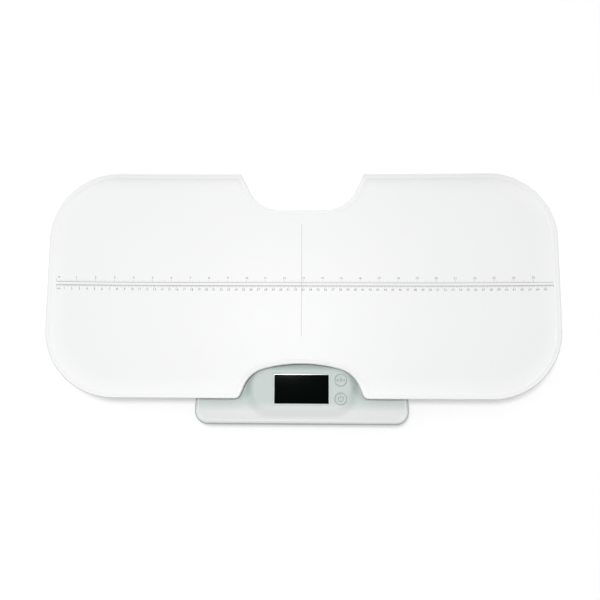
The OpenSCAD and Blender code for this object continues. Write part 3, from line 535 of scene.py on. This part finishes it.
def surfaceHeight(x, y, s=traySettings):
    halfX, halfY, r = s["length"] / 2, s["depth"] / 2, s["cornerRadius"]
    y = y - s["middleY"]
    sideLip = s["rearLip"] if y > 0 else s["frontLip"]
    cornerX, cornerY = abs(x) - (halfX - r), abs(y) - (halfY - r)
    if cornerX > 0 and cornerY > 0:
        away = math.hypot(cornerX, cornerY)
        inset, sideways = r - away, (cornerY / away) ** 2
    elif halfX - abs(x) < halfY - abs(y):
        inset, sideways = halfX - abs(x), 0
    else:
        inset, sideways = halfY - abs(y), 1
    lip = max(0, 1 - inset / s["lipWidth"]) ** 2
    level = s["levelLength"] / 2
    rise = s["endRise"] * (max(0, abs(x) - level) / (halfX - level)) ** 2
    return s["surface"] + rise + lip * (sideLip * sideways + s["endLip"] * (1 - sideways))


def trayOutline(bm, s):
    halfX, front, rear = s["length"] / 2, s["middleY"] - s["depth"] / 2, s["middleY"] + s["depth"] / 2
    r, corner = s["cornerRadius"], halfX - s["cornerRadius"]

    def compass(degrees, length=1.0):  # from straight back, turning to the right
        return Vector((math.sin(math.radians(degrees)), math.cos(math.radians(degrees)))) * length

    arch = Vector((0, front + s["archDepth"] - s["archRadius"]))
    shoulder = arch + compass(s["archAngle"], s["archRadius"] - s["shoulderRadius"])
    foot = shoulder + compass(s["archLean"], s["shoulderRadius"])
    down = compass(s["archLean"] + 90)
    fall = (foot.y - front - s["flareRadius"] * (1 - math.cos(math.radians(s["archLean"])))) / -down.y
    flareStart = foot + down * fall
    flare = flareStart + compass(s["archLean"], s["flareRadius"])
    notch = Vector((s["notchFlat"] / 2, rear - s["notchDepth"] + s["notchRadius"]))
    notchEnd = notch + compass(180 - s["notchLean"], s["notchRadius"])
    lean = math.tan(math.radians(s["notchLean"]))

    pen = penStart(bm, 0, arch.y + s["archRadius"])
    pen = penArc(bm, pen, arch, -s["archAngle"], s["archSteps"])
    pen = penArc(bm, pen, shoulder, s["archAngle"] - s["archLean"], s["shoulderSteps"])
    pen = penLine(bm, pen, *flareStart)
    pen = penArc(bm, pen, flare, s["archLean"], s["flareSteps"])
    pen = penLine(bm, pen, corner, front)
    pen = penArc(bm, pen, (corner, front + r), 90, s["cornerSteps"])
    pen = penLine(bm, pen, halfX, rear - r)
    pen = penArc(bm, pen, (corner, rear - r), 90, s["cornerSteps"])
    pen = penLine(bm, pen, notchEnd.x + (rear - notchEnd.y) / lean, rear)
    pen = penLine(bm, pen, *notchEnd)
    pen = penArc(bm, pen, notch, -s["notchLean"], s["notchSteps"])
    pen = penLine(bm, pen, 0, rear - s["notchDepth"])
    bmesh.ops.mirror(bm, geom=bm.verts[:] + bm.edges[:], axis="X", merge_dist=1e-6)
    bmesh.ops.remove_doubles(bm, verts=bm.verts, dist=1e-6)
    bmesh.ops.contextual_create(bm, geom=bm.edges[:])


def traySkin(s):
    bm = bmesh.new()
    trayOutline(bm, s)
    drop, rimLine = roundedSheet(bm, s["edgeRadius"], s["edgeSteps"], s["beadAt"], s["beadWidth"])
    halfX, halfY = s["length"] / 2, s["depth"] / 2
    cutGrid(bm, spread(-halfX, halfX, s["gridStep"])[1:],
            spread(s["middleY"] - halfY, s["middleY"] + halfY, s["gridStep"])[1:])
    for vert in bm.verts:
        height = surfaceHeight(vert.co.x / mm, vert.co.y / mm)
        vert.co.z = (height - vert[drop] + s["bead"] * vert[rimLine]) * mm
    return bm


def makeTray(s):
    skin = traySkin(s)
    ribs = trayRibs(skin, s)
    rim = [edge for edge in skin.edges if edge.is_boundary]
    made = bmesh.ops.extrude_edge_only(skin, edges=rim)
    moveUp(skin, newVerts(made), s["edgeRadius"] - s["rim"])
    shell = finishPiece(skin, "tray_shell", trayWhite, recalc=False)
    wallModifier(shell, s["skin"])
    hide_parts("tray")
    for piece in (shell, ribs, trayPosts(s)):
        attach(piece, "tray_body")


def trayPosts(s):
    posts = bmesh.new()
    peg, tip, taper = s["pegRadius"], s["pegTip"], s["pegTaper"]
    post, foot, edge = s["postRadius"], s["postFoot"], s["postEdge"]
    top = s["surface"] - s["overlap"]
    for spot in s["postSpots"]:
        spunProfile(posts, [(0, tip), (peg - taper, tip), (peg, tip + taper), (peg, foot),
                            (post - edge, foot), (post, foot + edge), (post, top), (0, top)], spot)
        for turn in range(4):
            trayGusset(posts, spot, 90 * turn, s)
    return finishPiece(posts, "tray_posts", trayWhite)


def trayGusset(bm, spot, degrees, s):
    inner, reach = s["postRadius"] - s["overlap"], s["postRadius"] + s["gussetReach"]
    low, high = s["postFoot"] + s["gussetLift"], s["surface"] - s["rim"]
    profile = [(inner, low), (s["postRadius"], low), (reach, high), (reach, high + s["overlap"]),
               (inner, high + s["overlap"])]
    corners = [bmesh.ops.create_vert(bm, co=(x * mm, -s["gussetHalf"] * mm, z * mm))["vert"][0]
               for x, z in profile]
    sheet = bmesh.ops.contextual_create(bm, geom=corners)["faces"]
    far = newVerts(bmesh.ops.extrude_face_region(bm, geom=sheet, use_keep_orig=True))
    bmesh.ops.translate(bm, vec=(0, 2 * s["gussetHalf"] * mm, 0), verts=far)
    turned = Matrix.Rotation(math.radians(degrees), 3, "Z")
    bmesh.ops.rotate(bm, verts=corners + far, matrix=turned)
    bmesh.ops.translate(bm, vec=(spot[0] * mm, spot[1] * mm, 0), verts=corners + far)


def trayRibs(skin, s):
    # each rib follows a cut through the skin, just beside the grid lines
    ribs = bmesh.new()
    beside = 0.01
    lines = [((side * x, 0), (1, 0, 0)) for side in (-1, 1) for x in s["ribX"]]
    lines += [((0, y), (0, 1, 0)) for y in s["ribY"]]
    for (x, y), normal in lines:
        line = skin.copy()
        bmesh.ops.bisect_plane(line, geom=line.verts[:] + line.edges[:] + line.faces[:], dist=1e-6,
                               plane_co=((x + beside) * mm, (y + beside) * mm, 0), plane_no=normal,
                               clear_inner=True, clear_outer=True)
        layer = line.verts.layers.float["drop"]
        outer = [vert for vert in line.verts if vert[layer] > 0.5]
        bmesh.ops.delete(line, geom=outer, context="VERTS")
        moveUp(line, line.verts, -s["skin"] / 2)
        made = bmesh.ops.extrude_edge_only(line, edges=line.edges[:])
        moveUp(line, newVerts(made), s["ribLift"] - s["rim"])
        mesh = bpy.data.meshes.new("rib")
        line.to_mesh(mesh)
        line.free()
        ribs.from_mesh(mesh)
        bpy.data.meshes.remove(mesh)
    piece = finishPiece(ribs, "tray_ribs", trayWhite)
    wallModifier(piece, s["ribThickness"], 0, even=False)
    return piece


print("cradle tray")
makeTray(traySettings)

# ruler print on the tray

inch = 25.4
rulerSettings = {
    "zeroX": -328.5,
    "length": 660,
    "inchLine": 19.2,
    "centimetreLine": 15.4,
    "lineWidth": 0.45,
    "tickWidth": 0.28,
    "millimetreTicks": (3.4, 2.6, 1.7),
    "inchTicks": (4.2, 3.0, 2.2),
    "inchNumbers": 25.6,
    "centimetreNumbers": 9.9,
    "numberSize": 4.4,
    "unitShift": 3,
    "linePieces": 220,  # short pieces, so that the lines follow the curled tray
    "centreLine": (-52.2, 99.6),
    "centreLineWidth": 0.3,
    "centreLineAt": -0.6,
    "centreLinePieces": 40,
    "film": 0.05,
}


def bar(bm, lowX, highX, lowY, highY, pieces=1):
    verts = bmesh.ops.create_grid(bm, x_segments=pieces, y_segments=1, size=0.5)["verts"]
    bmesh.ops.scale(bm, vec=((highX - lowX) * mm, (highY - lowY) * mm, 1), verts=verts)
    bmesh.ops.translate(bm, vec=((lowX + highX) / 2 * mm, (lowY + highY) / 2 * mm, 0), verts=verts)
    return verts


def letter(bm, text, size, x, y):
    curve = bpy.data.curves.new("letter", "FONT")
    curve.body = text
    curve.size = size * mm
    curve.align_x = "CENTER"
    curve.align_y = "CENTER"
    curve.resolution_u = 3
    label = bpy.data.objects.new("letter", curve)
    mesh = bpy.data.meshes.new_from_object(label)
    mesh.transform(Matrix.Translation((x * mm, y * mm, 0)))
    bm.from_mesh(mesh)
    bpy.data.objects.remove(label)
    bpy.data.curves.remove(curve)
    bpy.data.meshes.remove(mesh)


def faceUp(bm):
    down = [face for face in bm.faces if face.normal.z < 0]
    bmesh.ops.reverse_faces(bm, faces=down)


def drapeOnTray(bm, s):
    for vert in bm.verts:
        vert.co.z = (surfaceHeight(vert.co.x / mm, vert.co.y / mm) + s["film"]) * mm


def printPiece(bm, name, s):
    drapeOnTray(bm, s)
    faceUp(bm)
    piece = finishPiece(bm, name, printGrey, recalc=False)
    wallModifier(piece, 2 * s["film"], even=False)
    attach(piece, "tray_body")


def makeRuler(s):
    ticks = bmesh.new()
    end, half = s["zeroX"] + s["length"], s["tickWidth"] / 2
    for y in (s["inchLine"], s["centimetreLine"]):
        bar(ticks, s["zeroX"], end, y - s["lineWidth"] / 2, y + s["lineWidth"] / 2, s["linePieces"])
    for i in range(s["length"] + 1):
        long = s["millimetreTicks"][0 if i % 10 == 0 else 1 if i % 5 == 0 else 2]
        x = s["zeroX"] + i
        bar(ticks, x - half, x + half, s["centimetreLine"] - long, s["centimetreLine"])
    inches = int(s["length"] / inch)
    for i in range(inches * 8 + 1):
        long = s["inchTicks"][0 if i % 8 == 0 else 1 if i % 4 == 0 else 2]
        x = s["zeroX"] + i * inch / 8
        bar(ticks, x - half, x + half, s["inchLine"], s["inchLine"] + long)
    printPiece(ticks, "ruler_ticks", s)
    numbers = bmesh.new()
    for i in range(1, s["length"] // 10):
        letter(numbers, str(i), s["numberSize"], s["zeroX"] + 10 * i, s["centimetreNumbers"])
    for i in range(1, inches + 1):
        letter(numbers, str(i), s["numberSize"], s["zeroX"] + inch * i, s["inchNumbers"])
    for unit, y in (("in", s["inchNumbers"]), ("cm", s["centimetreNumbers"])):
        letter(numbers, unit, s["numberSize"], s["zeroX"] + s["unitShift"], y)
    printPiece(numbers, "ruler_numbers", s)
    centre = bmesh.new()
    verts = bar(centre, *s["centreLine"], -s["centreLineWidth"] / 2, s["centreLineWidth"] / 2,
                s["centreLinePieces"])
    bmesh.ops.rotate(centre, verts=verts, matrix=Matrix.Rotation(math.radians(90), 3, "Z"))
    bmesh.ops.translate(centre, vec=(s["centreLineAt"] * mm, 0, 0), verts=verts)
    printPiece(centre, "centre_line", s)


print("ruler print")
makeRuler(rulerSettings)

# top cover with its console

coverSettings = {
    "width": 284,
    "depth": 270,
    "front": -169,
    "cornerRadius": 17,
    "parting": 20,
    "platform": 30,
    "edgeRadius": consolePaintedLightAndShade["edgeRadius"],
    "edgeSteps": 8,
    "shell": 2,
    "seam": 0.5,
    "bead": 0.2,
    "beadAt": 4.3,
    "beadWidth": 0.9,
    "ledge": 35.5,
    "ledgeDepth": 30,
    "ledgeSlope": 16,
    "ledgeCorner": 8,
    "crown": 1.2,
    "crownDepth": 26,
    "fineStep": 1.3,
    "coarseStep": 6,
    "fineMargin": 2,
    "panel": 38,
    "panelWidth": 126,
    "panelFront": 24,
    "panelRear": 69.5,
    "panelRadius": 20,
    "panelThickness": 3,
    "sideSlope": 14,
    "frontSlope": 16,
    "windowWidth": 75,
    "windowDepth": 41,
    "windowMiddle": 46.4,
    "windowRadius": 1.5,
    "windowBorder": 1.4,
    "borderShift": 0.2,
    "borderCorner": 0.4,
    "windowThickness": 1.6,
    "windowGap": 0.15,
    "windowLedge": 4,
    "windowBed": 0.05,
    "windowBreak": ((0.25, 0), (0.07, 0.07), (0, 0.25)),  # outward and down, for a softened edge
    "windowMargin": 1.6,
    "plateEdge": 0.25,
    "plateBevel": 0.08,
    "buttonX": 52,
    "buttonPitch": 24.7,
    "buttonRadius": 7.75,
    "buttonGap": 0.35,
    "buttonTop": 38.4,
    "buttonEdge": 0.6,
    "flangeReach": 1.2,
    "flangeThickness": 1,
    "dish": 0.35,
    "dishShare": 0.85,
    "holeBreak": ((0.35, 0), (0.1, 0.1), (0, 0.35)),
    "holeMargin": 1.4,
    "seatRadius": 12.2,
    "seatFloor": 29,
    "seatBreak": 0.25,
    "seatMargin": 4,
    "socketRadius": 4.85,
    "socketFloor": 23.5,
    "socketBreak": 0.3,
}


def ease(share):
    share = min(1, max(0, share))
    return share * share * (3 - 2 * share)


def coverHeight(x, y, s):
    # platform behind, crowned ledge in front, and the console's mound rising out of both
    back = y - s["front"]
    overhang = max(0, abs(x) - s["width"] / 2 + s["ledgeCorner"])
    cornerBack = s["ledgeCorner"] - math.sqrt(max(0, s["ledgeCorner"] ** 2 - overhang ** 2))
    slopeEnd = s["ledgeDepth"] + s["ledgeSlope"]
    climb = ease((slopeEnd - back - cornerBack) / s["ledgeSlope"])
    shelf = s["platform"] + (s["ledge"] - s["platform"]) * climb
    shelf -= s["crown"] * max(0, 1 - back / s["crownDepth"]) ** 2
    r = s["panelRadius"]
    side = abs(x) - (s["panelWidth"] / 2 - r)
    rear = back - (s["panelRear"] - r)
    front = (s["panelFront"] + r - back) * (r + s["sideSlope"]) / (r + s["frontSlope"])
    out = math.hypot(max(0, side), max(0, rear, front)) - r
    return shelf + (s["panel"] - shelf) * ease(1 - out / s["sideSlope"])


def settle(edges, s, sink):
    for vert in {vert for edge in edges for vert in edge.verts}:
        vert.co.z = (coverHeight(vert.co.x / mm, vert.co.y / mm, s) - sink) * mm
    return edges


def coverSkin(s):
    bm = bmesh.new()
    middle = (0, s["front"] + s["depth"] / 2)
    plan = roundedRing(bm, s["width"], s["depth"], s["cornerRadius"], middle, 0, 14)
    bmesh.ops.contextual_create(bm, geom=plan)
    drop, rimLine = roundedSheet(bm, s["edgeRadius"], s["edgeSteps"], s["beadAt"], s["beadWidth"])
    halfX, fineX = s["width"] / 2, s["panelWidth"] / 2 + s["sideSlope"] + s["fineMargin"]
    fineY = s["front"] + s["panelRear"] + s["sideSlope"] + s["fineMargin"]
    rearY = s["front"] + s["depth"]
    cutGrid(bm, spread(-halfX, -fineX, s["coarseStep"])[1:] + spread(-fineX, fineX, s["fineStep"])
            + spread(fineX, halfX, s["coarseStep"]),
            spread(s["front"], fineY, s["fineStep"])[1:] + spread(fineY, rearY, s["coarseStep"]))
    for vert in bm.verts:
        height = coverHeight(vert.co.x / mm, vert.co.y / mm, s)
        vert.co.z = (height - vert[drop] + s["bead"] * vert[rimLine]) * mm
    rim = [edge for edge in bm.edges if edge.is_boundary]  # the walls go down from here to the seam
    for z, shrink in ((s["parting"] + s["seam"], 0), (s["parting"], s["seam"])):
        made = bmesh.ops.extrude_edge_only(bm, edges=rim)
        rim = [g for g in made["geom"] if isinstance(g, bmesh.types.BMEdge)]
        low = newVerts(made)
        for vert in low:
            vert.co.z, vert[drop] = z * mm, 0
        bmesh.ops.scale(bm, vec=(1 - shrink / halfX, 1 - 2 * shrink / s["depth"], 1), verts=low,
                        space=Matrix.Translation((0, -middle[1] * mm, 0)))
    return bm


def windowOpening(bm, s):
    at = (0, s["front"] + s["windowMiddle"])
    halfX, halfY = s["windowWidth"] / 2 + s["windowMargin"], s["windowDepth"] / 2 + s["windowMargin"]
    rim = openPatch(bm, lambda x, y: abs(x) < halfX and abs(y - at[1]) < halfY)
    ledgeZ, underZ = s["panel"] - s["windowThickness"] - s["windowBed"], s["panel"] - s["panelThickness"]
    steps = [(grow, s["panel"] - sink) for grow, sink in s["windowBreak"]]
    steps += [(0, ledgeZ), (-s["windowLedge"], ledgeZ), (-s["windowLedge"], underZ)]
    rings = []
    for grow, z in steps:
        grow += s["windowGap"]
        rings.append(roundedRing(bm, s["windowWidth"] + 2 * grow, s["windowDepth"] + 2 * grow,
                                 max(0.2, s["windowRadius"] + grow), at, z, 6))
    borderPatch(bm, rim, rings)


def buttonHole(bm, y, s):
    spot, hole = (s["buttonX"], y), s["buttonRadius"] + s["buttonGap"]
    rim = openPatch(bm, lambda x, y: math.dist((x, y), spot) < hole + s["holeMargin"])
    rings = [settle(roundRing(bm, hole + grow, spot, 0, 64), s, sink)
             for grow, sink in (*s["holeBreak"], (0, s["panelThickness"]))]
    borderPatch(bm, rim, rings)


def traySeat(bm, spot, s):
    seat, socket, platform, floor = s["seatRadius"], s["socketRadius"], s["platform"], s["seatFloor"]
    soft, softer = s["seatBreak"], s["socketBreak"]
    rim = openPatch(bm, lambda x, y: math.dist((x, y), spot) < seat + s["seatMargin"])
    rings = [roundRing(bm, r, spot, z) for r, z in (
        (seat + soft, platform), (seat, platform - soft), (seat, floor), (socket + softer, floor),
        (socket, floor - softer), (socket, s["socketFloor"]))]
    borderPatch(bm, rim, rings)
    fillFlat(bm, rings[-1])


def makeTopCover(s):
    bm = coverSkin(s)
    windowOpening(bm, s)
    for y in buttonYs(s):
        buttonHole(bm, y, s)
    for spot in traySettings["postSpots"]:
        traySeat(bm, spot, s)
    cover = finishPiece(bm, "top_cover_shell", consoleMintWithPaintedLight)
    wallModifier(cover, s["shell"])
    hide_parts("top_cover")
    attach(cover, "base")


def buttonYs(s):
    middle = s["front"] + s["windowMiddle"]
    return middle - s["buttonPitch"] / 2, middle + s["buttonPitch"] / 2


def makeWindow(s):
    bm = bmesh.new()
    at = (0, s["front"] + s["windowMiddle"])
    low, high = s["panel"] - s["windowThickness"], s["panel"]
    soft, fine = s["plateEdge"], s["plateBevel"]
    rings = [roundedRing(bm, s["windowWidth"] - 2 * inset, s["windowDepth"] - 2 * inset,
                         s["windowRadius"] - inset, at, z, 8)
             for inset, z in ((soft, low), (0, low + soft), (0, high - soft), (fine, high - fine),
                              (soft, high))]
    bridgeAll(bm, rings)
    border = s["windowBorder"]
    black = roundedRing(bm, s["windowWidth"] - 2 * border, s["windowDepth"] - 2 * border,
                        s["borderCorner"], (at[0], at[1] + s["borderShift"]), s["panel"], 3)
    fillFlat(bm, rings[0])
    fillFlat(bm, rings[-1], black)
    before = set(bm.faces)
    fillFlat(bm, black)
    for face in bm.faces:
        face.material_index = 0 if face in before else 1
    piece = finishPiece(bm, "display_plate", windowBorder, windowBlack)
    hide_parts("display_window")
    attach(piece, "base")


def makeButton(name, node, body, y, s):
    bm = bmesh.new()
    r, top = s["buttonRadius"], s["buttonTop"]
    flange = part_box(node)[0].z / mm
    reach, above, edge = r + s["flangeReach"], flange + s["flangeThickness"], s["buttonEdge"]
    points = [(0, flange), (reach, flange), (reach, above), (r, above), (r, top - edge)]
    for turn in (22, 45, 68, 90):
        turn = math.radians(turn)
        points.append((r - edge * (1 - math.cos(turn)), top - edge + edge * math.sin(turn)))
    for share in (0.85, 0.7, 0.5, 0.3, 0.15, 0):
        points.append((r * share, top - s["dish"] * (1 - (share / s["dishShare"]) ** 2)))
    spunProfile(bm, points, (s["buttonX"], y))
    piece = finishPiece(bm, name, buttonMint)
    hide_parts(node)
    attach(piece, body)


iconSettings = {
    "ring": (2.9, 3.6),
    "gap": 32,
    "bar": (1.6, 4.4),
    "barWidth": 0.7,
    "zeroSize": 6.2,
    "arrow": 1.4,
    "arrowPlace": 4.2,
    "film": 0.04,
}


def powerIcon(bm, s):
    ends = [bmesh.ops.create_vert(bm, co=(0, r * mm, 0))["vert"][0] for r in s["ring"]]
    start = bm.edges.new(ends)
    bmesh.ops.rotate(bm, verts=ends, matrix=Matrix.Rotation(math.radians(s["gap"]), 3, "Z"))
    bmesh.ops.spin(bm, geom=ends + [start], axis=(0, 0, 1), angle=math.radians(360 - 2 * s["gap"]),
                   steps=40)
    bar(bm, -s["barWidth"] / 2, s["barWidth"] / 2, *s["bar"])


def zeroIcon(bm, s):
    letter(bm, "0", s["zeroSize"], 0, 0)
    for side in (-1, 1):
        tip = bmesh.ops.create_circle(bm, cap_ends=True, radius=s["arrow"] * mm, segments=3)["verts"]
        bmesh.ops.rotate(bm, verts=tip, matrix=Matrix.Rotation(math.radians(90 * side), 3, "Z"))
        bmesh.ops.translate(bm, vec=(side * s["arrowPlace"] * mm, 0, 0), verts=tip)


def makeIcon(name, body, draw, y, s, icons):
    bm = bmesh.new()
    draw(bm, icons)
    faceUp(bm)
    for vert in bm.verts:
        share = vert.co.xy.length / mm / (s["dishShare"] * s["buttonRadius"])
        vert.co.z = (s["buttonTop"] - s["dish"] * max(0, 1 - share ** 2) + icons["film"]) * mm
    bmesh.ops.translate(bm, vec=(s["buttonX"] * mm, y * mm, 0), verts=bm.verts)
    piece = finishPiece(bm, name, iconGrey, recalc=False)
    wallModifier(piece, 2 * icons["film"], even=False)
    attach(piece, body)


print("top cover and console")
makeTopCover(coverSettings)
makeWindow(coverSettings)
powerY, zeroY = buttonYs(coverSettings)
makeButton("power_cap", "power_button", "power_key", powerY, coverSettings)
makeButton("zero_cap", "zero_button", "zero_key", zeroY, coverSettings)
makeIcon("power_icon", "power_key", powerIcon, powerY, coverSettings, iconSettings)
makeIcon("zero_icon", "zero_key", zeroIcon, zeroY, coverSettings, iconSettings)

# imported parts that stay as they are, each with its finish

finishes = {
    "tray_seats": siliconeGrey, "lcd_cell": glassGreen, "lcd_frame": innerWhite, "main_board": boardGreen,
    "board_screws": steelGrey, "push_switches": darkPlastic, "zero_plunger": redPlastic,
    "power_plunger": redPlastic, "load_cell": steelGrey, "foot_cup": innerWhite, "foot_pad": rubberGrey,
    "sensor_leads": leadRed, "bottom_cover": shellMint, "cover_screws": steelGrey,
    "battery_cells": sleeveGreen, "battery_springs": steelGrey, "battery_plates": steelGrey,
    "battery_door": shellMint,
}


def makeSmoother(sharpAngle=30):
    # smooth shading that keeps the edges past the angle sharp
    group = bpy.data.node_groups.new("soft_shading", "GeometryNodeTree")
    group.interface.new_socket(name="Geometry", in_out="INPUT", socket_type="NodeSocketGeometry")
    group.interface.new_socket(name="Geometry", in_out="OUTPUT", socket_type="NodeSocketGeometry")
    ins, outs = group.nodes.new("NodeGroupInput"), group.nodes.new("NodeGroupOutput")
    merge = addNode(group, "GeometryNodeMergeByDistance", Distance=1e-6)
    smooth = addNode(group, "GeometryNodeSetShadeSmooth", domain="FACE")
    sharp = addNode(group, "GeometryNodeSetShadeSmooth", domain="EDGE")
    sharp.inputs["Shade Smooth"].default_value = False
    angle = addNode(group, "GeometryNodeInputMeshEdgeAngle")
    over = addNode(group, "FunctionNodeCompare", operation="GREATER_THAN")
    over.inputs["B"].default_value = math.radians(sharpAngle)
    group.links.new(ins.outputs[0], merge.inputs["Geometry"])
    group.links.new(merge.outputs[0], smooth.inputs["Geometry"])
    group.links.new(smooth.outputs[0], sharp.inputs["Geometry"])
    group.links.new(angle.outputs["Unsigned Angle"], over.inputs["A"])
    group.links.new(over.outputs[0], sharp.inputs["Selection"])
    group.links.new(sharp.outputs[0], outs.inputs[0])
    return group


print("finish of the construction parts")
smoother = makeSmoother()
for node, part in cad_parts.items():
    for start, material in finishes.items():
        if node.startswith(start):
            part.data.materials.clear()
            part.data.materials.append(material)
            soft = part.modifiers.new("soft_shading", "NODES")
            soft.node_group = smoother
            flat = part.modifiers.new("flat_faces", "WEIGHTED_NORMAL")
            flat.keep_sharp = True
